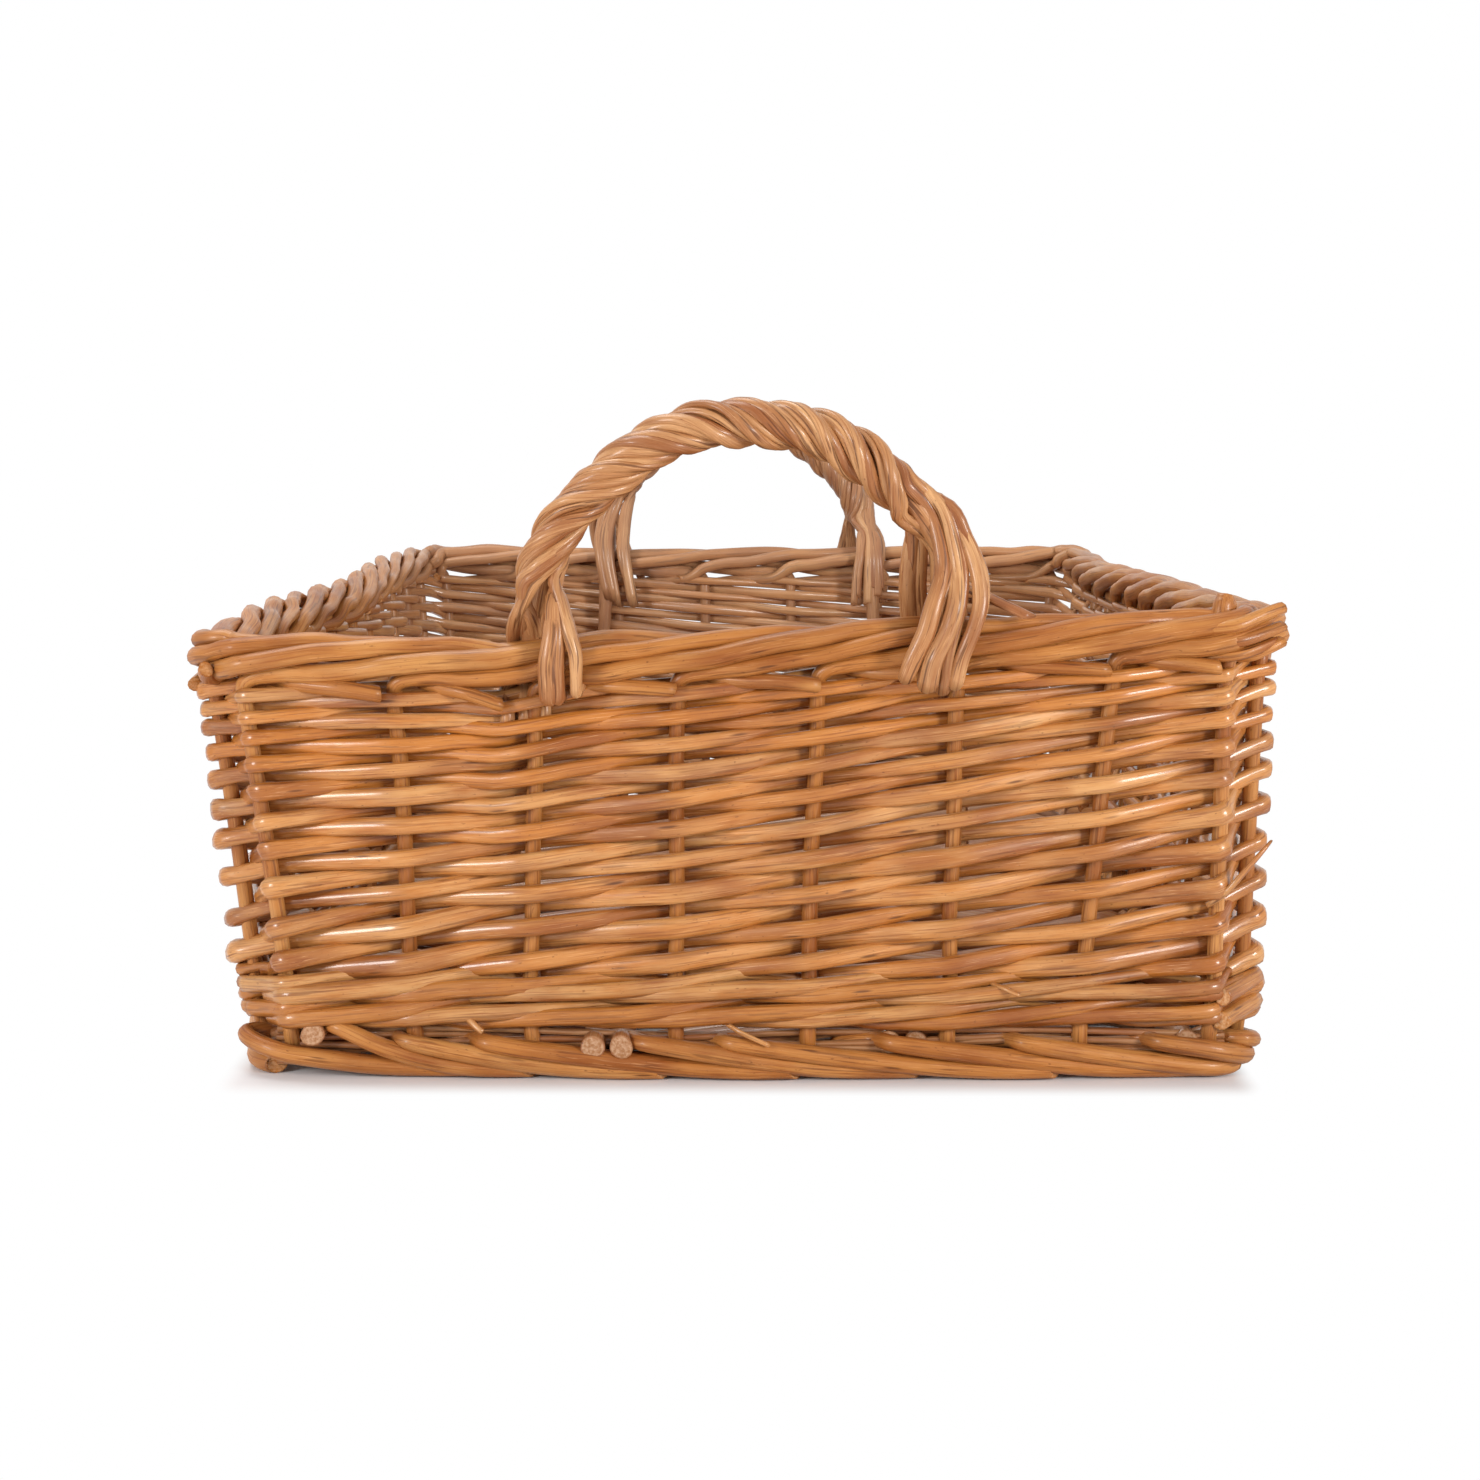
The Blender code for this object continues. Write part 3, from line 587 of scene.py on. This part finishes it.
WALE_LOW_Z, WALE_ROW = 0.0243, 0.0092
WALE_CLIMB = 0.0040
WALE_GAIN = 0.0012
WALE_RIPPLE = 0.0011
WALE_TAPER = ((0, 0.15, 0.6, 1), (0.0032, 0.0034, 0.0029, 0.0023))
WALE_DEPTH = ((0, 0.5, 1, 1.5, 2.5, 3), (0, -1, 0, 1, 1, 0))
WALE_UPPER_OUT = 0.0007
BUTT_SHARE, BUTT_OUT = 0.025, 0.0022
WALE_FLAT = 0.88


def wale_route(phase, row, side):
    """Samples of one wale rod along one side: in front of two stakes and behind the third.

    While in front it climbs past the other two, z = height + WALE_CLIMB * (u - middle of the stroke); behind
    the third stake it drops back. It starts with a butt at one corner and ends thin just past the next.
    """
    first = sum(PITCH_COUNT[:side])
    local = np.random.RandomState(60 + 7 * phase + 31 * row + side)
    begin = first - 0.55 - local.uniform(0, 0.35)
    finish = first + PITCH_COUNT[side] + local.uniform(-0.2, 0.3)
    u = np.arange(begin, finish, 1 / SAMPLES)
    turn = (u - phase + 0.5) % 3
    climb = np.where(turn < 1, 1 - 2 * (3 * turn ** 2 - 2 * turn ** 3), (turn - 2))
    depth = np.interp(turn, *WALE_DEPTH)
    share = (u - begin) / (finish - begin)
    radius = np.interp(share, *WALE_TAPER) * local.uniform(0.88, 1.1)
    radius = radius * (0.80 + 0.26 * np.clip(1 - climb ** 2, 0, 1))
    out = (STAKE_R + 0.85 * radius) * depth + WALE_UPPER_OUT * row
    out = np.where(share < BUTT_SHARE, out + BUTT_OUT, out)
    z = (WALE_LOW_Z + WALE_ROW * row + WALE_CLIMB * climb + WALE_GAIN * share
         + ripple(len(u), WALE_RIPPLE, 14, 70 + 9 * phase + side))
    spots, outward = hug(u, out, z)
    return settle(spots), outward, radius * fuller(u)


for phase in range(3):
    rods = []
    for row in (0, 1):
        for side in range(4):
            spots, outward, radius = wale_route(phase, row, side)
            rods.append(rod(spots, outward, radius, 10, (0.001, 0.001), 0.03, 70 + phase + 5 * row,
                            rng.uniform(0, 1), WALE_FLAT))
    piece("wale_rod_" + str(phase + 1), rods, wale_skin_painted_shade, ["upsett_rod_" + str(phase + 1)])

BANDS = 21
RODS_PER_BAND = 4
BAND_ROD_R = 0.0031
BAND_CLEAR, BAND_WANDER = 0.0026, 0.0005
STICK_GROUPS = (0, 1, 1, 2, 2, 3)
END_RODS = 9
END_ROD_R = 0.0014
END_LOW_Z, END_ROD_STEP, END_ROD_WAVE = 0.0062, 0.0013, 0.0016
END_OUT, END_OUT_WAVE, END_WIDTH = 0.0010, 0.0024, 0.985
SIDE_ROD_R = 0.0024
STICK_R = 0.0043
STICK_RISE, FIRST_STICK_RISE = 0.0014, 0.0036
STICK_BEND, STICK_DRIFT = 0.0100, 0.0010
SAWN_END_OUT, HIDDEN_END_OUT = 0.0080, 0.0015
BACK_END_OUT, BACK_END_STEP = 0.0030, 0.0012
STICK_PLACES = [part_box("base_stick_" + str(number)) for number in range(1, 7)]
STICK_X = [float(low[0] + high[0]) / 2 for low, high in STICK_PLACES]
STICK_Z = float(STICK_PLACES[0][0][2] + STICK_PLACES[0][1][2]) / 2


def upwards(path):
    """The direction up, once for each point of a path."""
    return np.tile([0.0, 0.0, 1.0], (len(path), 1))


def base_rows():
    """Rods woven across the bottom, with finer ones along both ends and one along each side.

    They lie in bands of four: the height is STICK_Z + or - lift, over one stick group and under the next,
    straight between, and the other way round in the next band.
    """
    low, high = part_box("base_weave")
    lift = float(high[2] - low[2]) / 2 - BAND_CLEAR
    pitch = float(high[1] - low[1]) / BANDS
    x = np.linspace(float(low[0]) + 0.001, float(high[0]) - 0.001, 61)
    places = [float(low[0])] + STICK_X + [float(high[0])]
    rods = []
    for band in range(BANDS):
        sign = 1.0 if band % 2 == 0 else -1.0
        heights = [0.0] + [sign * lift * (1 if group % 2 == 0 else -1) for group in STICK_GROUPS] + [0.0]
        z = STICK_Z + np.interp(x, places, heights)
        for count in range(RODS_PER_BAND):
            y = float(low[1]) + pitch * (band + (count + 0.5) / RODS_PER_BAND)
            y = y + ripple(len(x), BAND_WANDER, 9, 2100 + 4 * band + count)
            path = np.stack([x, y, z], -1)
            seed = 2000 + 4 * band + count
            tone = rng.uniform(0.2, 0.9)
            rods.append(rod(settle(path), upwards(path), BAND_ROD_R, 6, seed=seed, tone=tone))
    for end in (-1, 1):
        for count in range(END_RODS):
            local = np.random.RandomState(2300 + 10 * end + count)
            wave = np.sin(x * local.uniform(26, 44) + local.uniform(0, 6))
            z = END_LOW_Z + END_ROD_STEP * count + END_ROD_WAVE * wave
            y = end * (float(high[1]) + END_OUT + END_OUT_WAVE * np.sin(x * 31 + 2.1 * count))
            path = np.stack([x * END_WIDTH, y, z], -1)
            tone = local.uniform(0, 1)
            rods.append(rod(settle(path), upwards(path), END_ROD_R, 6, seed=2300 + count, tone=tone))
    for side in (-1, 1):
        y = np.linspace(float(low[1]) + 0.006, float(high[1]) - 0.006, 60)
        path = np.stack([np.full_like(y, side * (float(high[0]) - 0.0025)), y, np.full_like(y, STICK_Z)], -1)
        rods.append(rod(settle(path), upwards(path), SIDE_ROD_R, 6, seed=2190 + side))
    return rods


def stick_path(number, x):
    """Centre line of one bottom stick, along y, with both ends rising a little by smooth steps.

    The left three come out at the front with sawn ends, which bend to the right; the first is lifted most.
    """
    low, high = STICK_PLACES[number - 1]
    shown = number < 4
    near_end = float(low[1]) - (SAWN_END_OUT if shown else HIDDEN_END_OUT)
    y = np.linspace(near_end, float(high[1]) + BACK_END_OUT + BACK_END_STEP * (number % 3), 60)
    sideways = (STICK_BEND if number in (2, 3) else STICK_DRIFT) * shown * soft(-y, 0.10, 0.28)
    lifted = (FIRST_STICK_RISE if number == 1 else 0.0) * soft(-y, 0.22, 0.28)
    return np.stack([x + sideways, y, STICK_Z + STICK_RISE * soft(np.abs(y), 0.235, 0.275) + lifted], -1)


piece("base_weaving", base_rows(), base_skin, ["base_weave"])
for number, x in enumerate(STICK_X, start=1):
    path = stick_path(number, x)
    one = rod(settle(path), upwards(path), STICK_R, 14, lump=0.03, seed=2200 + number, tone=0.6)
    piece("bottom_stick_" + str(number), [one], base_skin, ["base_stick_" + str(number)])

# The bow's centre line on the front end, in millimetres: sideways and height.
BOW_LINE = np.array([(-80.5, 158.6), (-75.0, 175), (-69.4, 190.5), (-60.8, 204.8),
                     (-49.6, 216.2), (-35.5, 226.6), (-19.5, 234.6), (-2, 237.4),
                     (15.2, 235.3), (28.9, 230.9), (41.6, 223.2), (52.9, 213.6),
                     (63.6, 202.6), (71.8, 189.6), (74.2, 179), (72.6, 167)]) * MM
BOW_FINE = between(BOW_LINE, np.linspace(0, len(BOW_LINE) - 1, 400))
BOW_RUN = np.concatenate([[0.0], np.cumsum(np.linalg.norm(np.diff(BOW_FINE, axis=0), axis=1))])
BACK_HANDLE_SHIFT = 0.007
BOW_SPAN = (0.06, 0.97)
BOW_TIP_Z, BOW_TUCK_Z = 0.075, 0.160
BOW_FREE_Z = 0.190
BOW_TAPER = ((0.08, 0.15), (0.0026, 0.0044))
BOW_INSIDE = ((BOW_TIP_Z, 0.150, BOW_TUCK_Z), (-0.0100, -0.0112, -0.0090))
ARCH_STEP = 0.012


def end_point(end, along, out, z):
    """Place points on the front (0) or back (1) end wall, along running right seen from outside."""
    flip = 1 if end == 0 else -1
    reach = LINE_Y - LEAN * (BORDER_Z - z) / BORDER_Z + out
    return np.stack([flip * along - BACK_HANDLE_SHIFT * end, -flip * reach, z], -1)


def arch_middle(share):
    """The handle's centre line at a share of its length: a hand-bent bow, steeper at its right leg."""
    at = np.asarray(share, float) * BOW_RUN[-1]
    return np.interp(at, BOW_RUN, BOW_FINE[:, 0]), np.interp(at, BOW_RUN, BOW_FINE[:, 1])


def arch(share):
    """Points of the arch, and the direction away from the hand hole, square to a short chord of the arch."""
    share = np.asarray(share, float)
    along, z = arch_middle(share)
    before, after = arch_middle(share - ARCH_STEP), arch_middle(share + ARCH_STEP)
    normal = np.stack([before[1] - after[1], after[0] - before[0]], -1)
    return along, z, normal / np.linalg.norm(normal, axis=-1)[..., None]


def bow_rod(end):
    """The handle core: down into the wall beside a stake, over the arch and down again."""
    along, z, _ = arch(np.linspace(*BOW_SPAN, 60))
    drop = np.linspace(BOW_TIP_Z, BOW_TUCK_Z, 14)
    left = np.linspace(-LEG - 0.0065, along[0] - 0.0015, 14)
    right = np.linspace(along[-1], LEG + 0.002, 14)
    inside = np.interp(drop, *BOW_INSIDE)
    settling = inside[-1] * (1 - soft(z, BOW_TUCK_Z, BOW_FREE_Z))
    along = np.concatenate([left, along, right])
    out = np.concatenate([inside, settling, inside[::-1]])
    z = np.concatenate([drop, z, drop[::-1]])
    flip = 1 if end == 0 else -1
    outward = np.tile([0.0, -flip, 0.0], (len(z), 1))
    return rod(settle(end_point(end, along, out, z)), outward, np.interp(z, *BOW_TAPER), seed=40 + end)


# Places of the roping rods at the handle's legs, in millimetres from the leg. The left loop also has its
# drop as a share of LOOP_DROP; the tables of two rows are for the front and the back handle.
LEFT_LOOP = ((6.6, 1.0), (9.6, 1.06), (15.8, 0.88))
LOOP_DROP = 0.0122
LEFT_STUBS = (-2.7, 3.7, -9.4)
INSIDE_LEFT = ((-6.5, -2.0, 3.0, 7.0, -4.5, 5.0), (8.6, -3.4, -1.0, 1.4, 6.8, -5.4))
RIGHT_BEHIND = ((-17.4, -13.2, -15.4, -6.0, -2.0, 1.0), (-6.4, -4.2, -2.0, -15.4, -0.2, -13.4))
# The fan at the right leg: heights, and distances out as shares of the border's reach. Each rod has its
# places from the basket's middle in millimetres, the height of its tip, and how much it widens.
FAN_Z = (0.2030, 0.1920, 0.1800, 0.1690, 0.1590, 0.1500)
FAN_OUT = (0.22, 0.40, 0.66, 0.98, 1.12, 1.16, 1.12)
FAN_RODS = (((67.4, 70.0, 70.5, 66.3, 62.5, 58.0, 56.0), 0.1448, 1.30),
            ((71.2, 73.9, 73.8, 68.8, 66.4, 64.6, 63.7), 0.1470, 1.00),
            ((71.8, 74.4, 75.8, 74.3, 70.0, 66.0, 63.7), 0.1420, 1.55),
            ((72.6, 76.2, 77.4, 75.6, 72.9, 70.6, 69.8), 0.1400, 0.95),
            ((74.0, 79.4, 82.6, 82.4, 79.0, 75.4, 74.0), 0.1418, 1.25),
            ((74.4, 80.0, 84.0, 83.7, 79.6, 74.9, 72.6), 0.1440, 1.00))
UPPER_FAN_RODS, UPPER_FAN_OUT = (0, 2, 4), 0.0014


def left_leg(order, facing, end):
    """Way down of one roping rod at the left leg, as (along, out, z) from the bottom upwards.

    Three front rods make a narrow loop over the border. The others pass behind it; some of these come out
    again as dark stubs under the border.
    """
    edge = BORDER_R + STRAND_R + 0.0016
    if facing > 0 and order < 3:
        place, drop = LEFT_LOOP[order]
        x = place * MM - LEG
        low = BORDER_Z - LOOP_DROP * drop
        return [(x + 0.0004, 0.0020, low + 0.0012), (x, edge * 0.84, low), (x, edge * 1.05, low + 0.0048),
                (x, edge * 1.08, BORDER_Z + 0.0020),
                (0.6 * x + 0.4 * (0.0112 - LEG), edge * 0.94, BORDER_Z + 0.0110),
                (0.0094 + 0.0014 * order - LEG, 0.0072, BORDER_Z + 0.0205)]
    if facing > 0:
        x = LEFT_STUBS[order - 3] * MM - LEG
        return [(x, -0.0004, 0.1262 + 0.0013 * order), (x, -0.0006, 0.1385), (x - 0.001, -0.0060, 0.1475),
                (-LEG - 0.0040 + 0.0028 * (order - 4), -0.0120, 0.1570),
                (-LEG - 0.0030 + 0.0034 * (order - 4), -0.0040, 0.1690)]
    spread = INSIDE_LEFT[end][order] * MM
    bottom = 0.1380 + 0.0030 * (order % 3) if end == 0 else 0.1320 + 0.0045 * (order % 3)
    return [(-LEG - 0.0020 + 1.1 * spread, -0.0132, bottom), (-LEG - 0.0020 + spread, -0.0140, 0.1500),
            (-LEG - 0.0020 + 0.8 * spread, -0.0135, 0.1610), (-LEG - 0.0010 + 0.55 * spread, -0.0090, 0.1720)]


def right_leg(order, facing, end):
    """Way down of one roping rod at the right leg, as (along, out, z) from the top downwards.

    The front rods fan out over the border to frayed ends, the others pass behind it.
    """
    if facing > 0:
        edge = BORDER_R + STRAND_R + 0.0008 + UPPER_FAN_OUT * (order in UPPER_FAN_RODS)
        local = np.random.RandomState(40 + order + end)
        places, tip, _ = FAN_RODS[order]
        rows = []
        for place, out, z in zip(places, FAN_OUT, FAN_Z + (tip,)):
            place = place + local.uniform(-0.4, 0.4)
            out = out + local.uniform(-0.05, 0.08)
            rows.append((place * MM, out * edge, z))
        return rows
    x = LEG + RIGHT_BEHIND[end][order] * MM
    low = 0.1340 if end == 0 else 0.1330 + 0.0040 * (order % 3)
    lean = 0.0030 * end
    return [(0.75 * x + 0.25 * (LEG - 0.010), -0.0060, 0.1890), (x + lean, -0.0100, 0.1750),
            (x + lean, -0.0135, 0.1600), (x - 0.5 * lean, -0.0130, low)]


ROPE_TURNS = 3
ROPE_START, ROPE_SHARE = 0.105, 0.77
ROPE_STOP_FRONT, ROPE_STOP_BEHIND = 0.875, 0.835
ROPE_POINTS = 33
ROPE_REACH = 0.0059
ROPE_ROD_R = 0.00232
ROPE_ROD_SPACING = 0.37
ROPE_ROD_LIFT = (-0.0002, 0.0013, 0.0001)
ROPE_FLAT = 0.88
ROPE_CUT = (0.0012, 0.0030)
# How rods thicken towards their ends: over how many samples, and by how much.
FOOT_SAMPLES, FOOT_WIDENS = 18, 1.12
FAN_SAMPLES = 30
LOOP_RODS, LOOP_SAMPLES, LOOP_WIDENS = (0, 1), 22, 0.25
BEHIND_SAMPLES, BEHIND_WIDENS = 16, 1.25


def band_rod(end, order, phase, thick, lift, facing, seed):
    """One flat rod of a roping band: a right-handed helix round the bow, then down both legs.

    Round the bow the point is centre + reach * (cos a outwards + sin a away from the hand hole) with the
    angle a falling evenly along the bow and a little unsteady; the rod lies flat on the core.
    """
    share = np.linspace(ROPE_START, ROPE_STOP_FRONT if facing > 0 else ROPE_STOP_BEHIND, ROPE_POINTS)
    along, z, normal = arch(share)
    angle = phase - 2 * np.pi * ROPE_TURNS * (share - ROPE_START) / ROPE_SHARE
    angle = angle + ripple(ROPE_POINTS, 0.12, 9, seed + 1)
    reach = ROPE_REACH + lift + ripple(ROPE_POINTS, 0.0005, 12, seed + 2)
    out = reach * np.cos(angle)
    up = reach * np.sin(angle)
    helix = end_point(end, along + up * normal[:, 0], out, z + up * normal[:, 1])
    flip = 1 if end == 0 else -1
    radial = np.stack([flip * np.sin(angle) * normal[:, 0], -flip * np.cos(angle),
                       np.sin(angle) * normal[:, 1]], -1)
    before, after = np.array(left_leg(order, facing, end)), np.array(right_leg(order, facing, end))
    plain = np.array([[0.0, -flip, 0.0]]) * facing
    if facing > 0:
        first = 1 if order < 3 else 0
        helix, radial = helix[first:-3], radial[first:-3]
    control = np.concatenate([end_point(end, *before.T), helix, end_point(end, *after.T)])
    lie = np.concatenate([np.repeat(plain, len(before), 0), radial, np.repeat(plain, len(after), 0)])
    at = np.linspace(0, len(control) - 1, (len(control) - 1) * 4 + 1)
    path, outward = between(control, at), between(lie, at) + 1e-3
    swell = thick * (1 + ripple(len(path), 0.14, 25, seed + 5))
    swell[:FOOT_SAMPLES] *= FOOT_WIDENS
    if facing > 0:
        swell[-FAN_SAMPLES:] *= 1 + (FAN_RODS[order][2] - 1) * soft(np.arange(FAN_SAMPLES), 2, 22)
        swell[:LOOP_SAMPLES] *= 1.0 + LOOP_WIDENS * (order in LOOP_RODS)
    else:
        swell[-BEHIND_SAMPLES:] *= BEHIND_WIDENS
    return rod(settle(path), outward, swell, 10, ROPE_CUT, 0.07, seed, rng.uniform(0, 1), ROPE_FLAT)


# A split end that lies over the border beside the fan: along from the leg, out and height.
SPLIT_END = ((-0.004, -0.0060, 0.1800), (0.003, -0.0040, 0.1745), (0.010, 0.0030, 0.1705),
             (0.0160, 0.0068, 0.1672), (0.0215, 0.0084, 0.1640))

for end, name in enumerate(("front", "back")):
    piece("handle_core_" + name, [bow_rod(end)], handle_skin, ["handle_bow_" + name])
    for turn, label in ((0, "outer"), (1, "inner")):
        bands = []
        for half in (0, 1):
            for count in range(3):
                order = 3 * half + count
                seed = 3000 + 100 * end + 20 * turn + order
                local = np.random.RandomState(seed)
                phase = np.pi * turn + (half - 0.5) * np.pi / 2 + (count - 1) * ROPE_ROD_SPACING
                lift = ROPE_ROD_LIFT[count] + local.uniform(-0.0004, 0.0005)
                thick = ROPE_ROD_R * local.uniform(0.80, 1.20)
                bands.append(band_rod(end, order, phase, thick, lift, 1.0 - 2.0 * turn, seed))
        if end == 0 and turn == 1:
            rows = np.array(SPLIT_END) + (LEG, 0, 0)
            path = settle(between(end_point(0, *rows.T), np.linspace(0, 4, 17)))
            outward = np.tile([0.0, -1.0, 1.0], (17, 1))
            bands.append(rod(path, outward, 0.0021, 9, (0, 0.003), 0.05, 93, 0.2, 0.6))
        piece("handle_roping_" + label + "_" + name, bands, handle_skin,
              ["handle_rope_" + label + "_" + name])

FLOOR_COLOUR = (0.80, 0.79, 0.80, 1)
SHADE_EDGE = (LINE_X - 0.011, LINE_Y + 0.0005, 0.0)
SHADE_STRETCH = (1.9, 1.0, 1.0)
SHADE_FADE = 0.021
FLOOR_HALF = 30.0
WORLD_LEVEL = 0.41
# Lamps: name, place, width and power.
LAMPS = (("left", (-0.94, -1.08, 0.40), 0.30, 8.9),
         ("right", (0.96, -1.10, 0.42), 0.30, 12.0),
         ("top", (-0.50, 0.1, 1.6), 0.9, 16.5))
LAMP_TARGET = (0, 0, 0.1)
CAMERA_PLACE = (0.0085, -1.199, 0.2437)
CAMERA_DOWN, CAMERA_LEFT = 7.402, 0.475
CAMERA_LENS, CAMERA_SENSOR = 62.2, 36.0


def floor_finish():
    """A plain pale floor that keeps the basket's shadow and is white where nothing shades it.

    To the camera it turns white with the distance from the basket's foot, by a smooth step over SHADE_FADE:
    the distance is the length of (|x|, |y|) less SHADE_EDGE, never below 0, times SHADE_STRETCH.
    """
    made = bpy.data.materials.new("pale_floor")
    made.use_nodes = True
    nodes, links = made.node_tree.nodes, made.node_tree.links
    shader = nodes["Principled BSDF"]
    shader.inputs["Base Color"].default_value = FLOOR_COLOUR
    shader.inputs["Roughness"].default_value = 0.9
    glow = nodes.new("ShaderNodeEmission")
    glow.inputs["Color"].default_value = (1, 1, 1, 1)
    path = nodes.new("ShaderNodeLightPath")
    reached = nodes.new("ShaderNodeTexCoord").outputs["Object"]
    for operation, second in (("ABSOLUTE", None), ("SUBTRACT", SHADE_EDGE), ("MAXIMUM", (0.0, 0.0, 0.0)),
                              ("MULTIPLY", SHADE_STRETCH)):
        step = nodes.new("ShaderNodeVectorMath")
        step.operation = operation
        links.new(reached, step.inputs[0])
        if second is not None:
            step.inputs[1].default_value = second
        reached = step.outputs["Vector"]
    far = nodes.new("ShaderNodeVectorMath")
    far.operation = "LENGTH"
    links.new(reached, far.inputs[0])
    spread = nodes.new("ShaderNodeMapRange")
    spread.interpolation_type = "SMOOTHSTEP"
    spread.inputs["From Max"].default_value = SHADE_FADE
    links.new(far.outputs["Value"], spread.inputs["Value"])
    share = nodes.new("ShaderNodeMath")
    share.operation = "MULTIPLY"
    links.new(path.outputs["Is Camera Ray"], share.inputs[0])
    links.new(spread.outputs["Result"], share.inputs[1])
    blend = nodes.new("ShaderNodeMixShader")
    links.new(share.outputs[0], blend.inputs["Fac"])
    links.new(shader.outputs[0], blend.inputs[1])
    links.new(glow.outputs[0], blend.inputs[2])
    links.new(blend.outputs[0], nodes["Material Output"].inputs["Surface"])
    return made


def build_surroundings():
    """A world that is plain white to the camera and in reflections, and dimmer where it lights the basket."""
    world = bpy.data.worlds.new("surroundings")
    bpy.context.scene.world = world
    world.use_nodes = True
    nodes, links = world.node_tree.nodes, world.node_tree.links
    sky = nodes["Background"]
    path = nodes.new("ShaderNodeLightPath")
    either = nodes.new("ShaderNodeMath")
    either.operation = "MAXIMUM"
    both = nodes.new("ShaderNodeMath")
    both.operation = "MAXIMUM"
    links.new(path.outputs["Is Camera Ray"], either.inputs[0])
    links.new(path.outputs["Is Transmission Ray"], either.inputs[1])
    links.new(either.outputs[0], both.inputs[0])
    links.new(path.outputs["Is Glossy Ray"], both.inputs[1])
    level = nodes.new("ShaderNodeMapRange")
    level.inputs["To Min"].default_value = WORLD_LEVEL
    level.inputs["To Max"].default_value = 1.0
    links.new(both.outputs[0], level.inputs["Value"])
    links.new(level.outputs["Result"], sky.inputs["Strength"])
    sky.inputs["Color"].default_value = (1, 1, 1, 1)


def build_stage():
    """Floor, white surroundings and soft lamps."""
    mesh = bpy.data.meshes.new("floor")
    size = FLOOR_HALF
    square = [(-size, -size, 0), (size, -size, 0), (size, size, 0), (-size, size, 0)]
    mesh.from_pydata(square, [], [(0, 1, 2, 3)])
    floor = bpy.data.objects.new("floor", mesh)
    bpy.context.scene.collection.objects.link(floor)
    mesh.materials.append(floor_finish())
    build_surroundings()
    for label, spot, width, power in LAMPS:
        data = bpy.data.lights.new(label, "AREA")
        data.shape = "SQUARE"
        data.size = width
        data.energy = power
        lamp = bpy.data.objects.new(label, data)
        bpy.context.scene.collection.objects.link(lamp)
        lamp.location = spot
        lamp.visible_camera = False
        aim = np.array(LAMP_TARGET) - np.array(spot)
        tip = math.atan2(math.hypot(aim[0], aim[1]), -aim[2])
        lamp.rotation_euler = (tip, 0, math.atan2(aim[1], aim[0]) - math.pi / 2)


def build_camera():
    """The photograph's viewpoint: square to the front end, a little above the handles."""
    data = bpy.data.cameras.new("camera")
    data.sensor_width = CAMERA_SENSOR
    data.lens = CAMERA_LENS
    data.clip_start = 0.05
    data.clip_end = 200.0
    camera = bpy.data.objects.new("camera", data)
    bpy.context.scene.collection.objects.link(camera)
    camera.location = CAMERA_PLACE
    camera.rotation_euler = (math.radians(90 - CAMERA_DOWN), 0, math.radians(CAMERA_LEFT))
    bpy.context.scene.camera = camera


build_stage()
build_camera()
bpy.context.scene.view_settings.view_transform = "Standard"
bpy.context.view_layer.update()
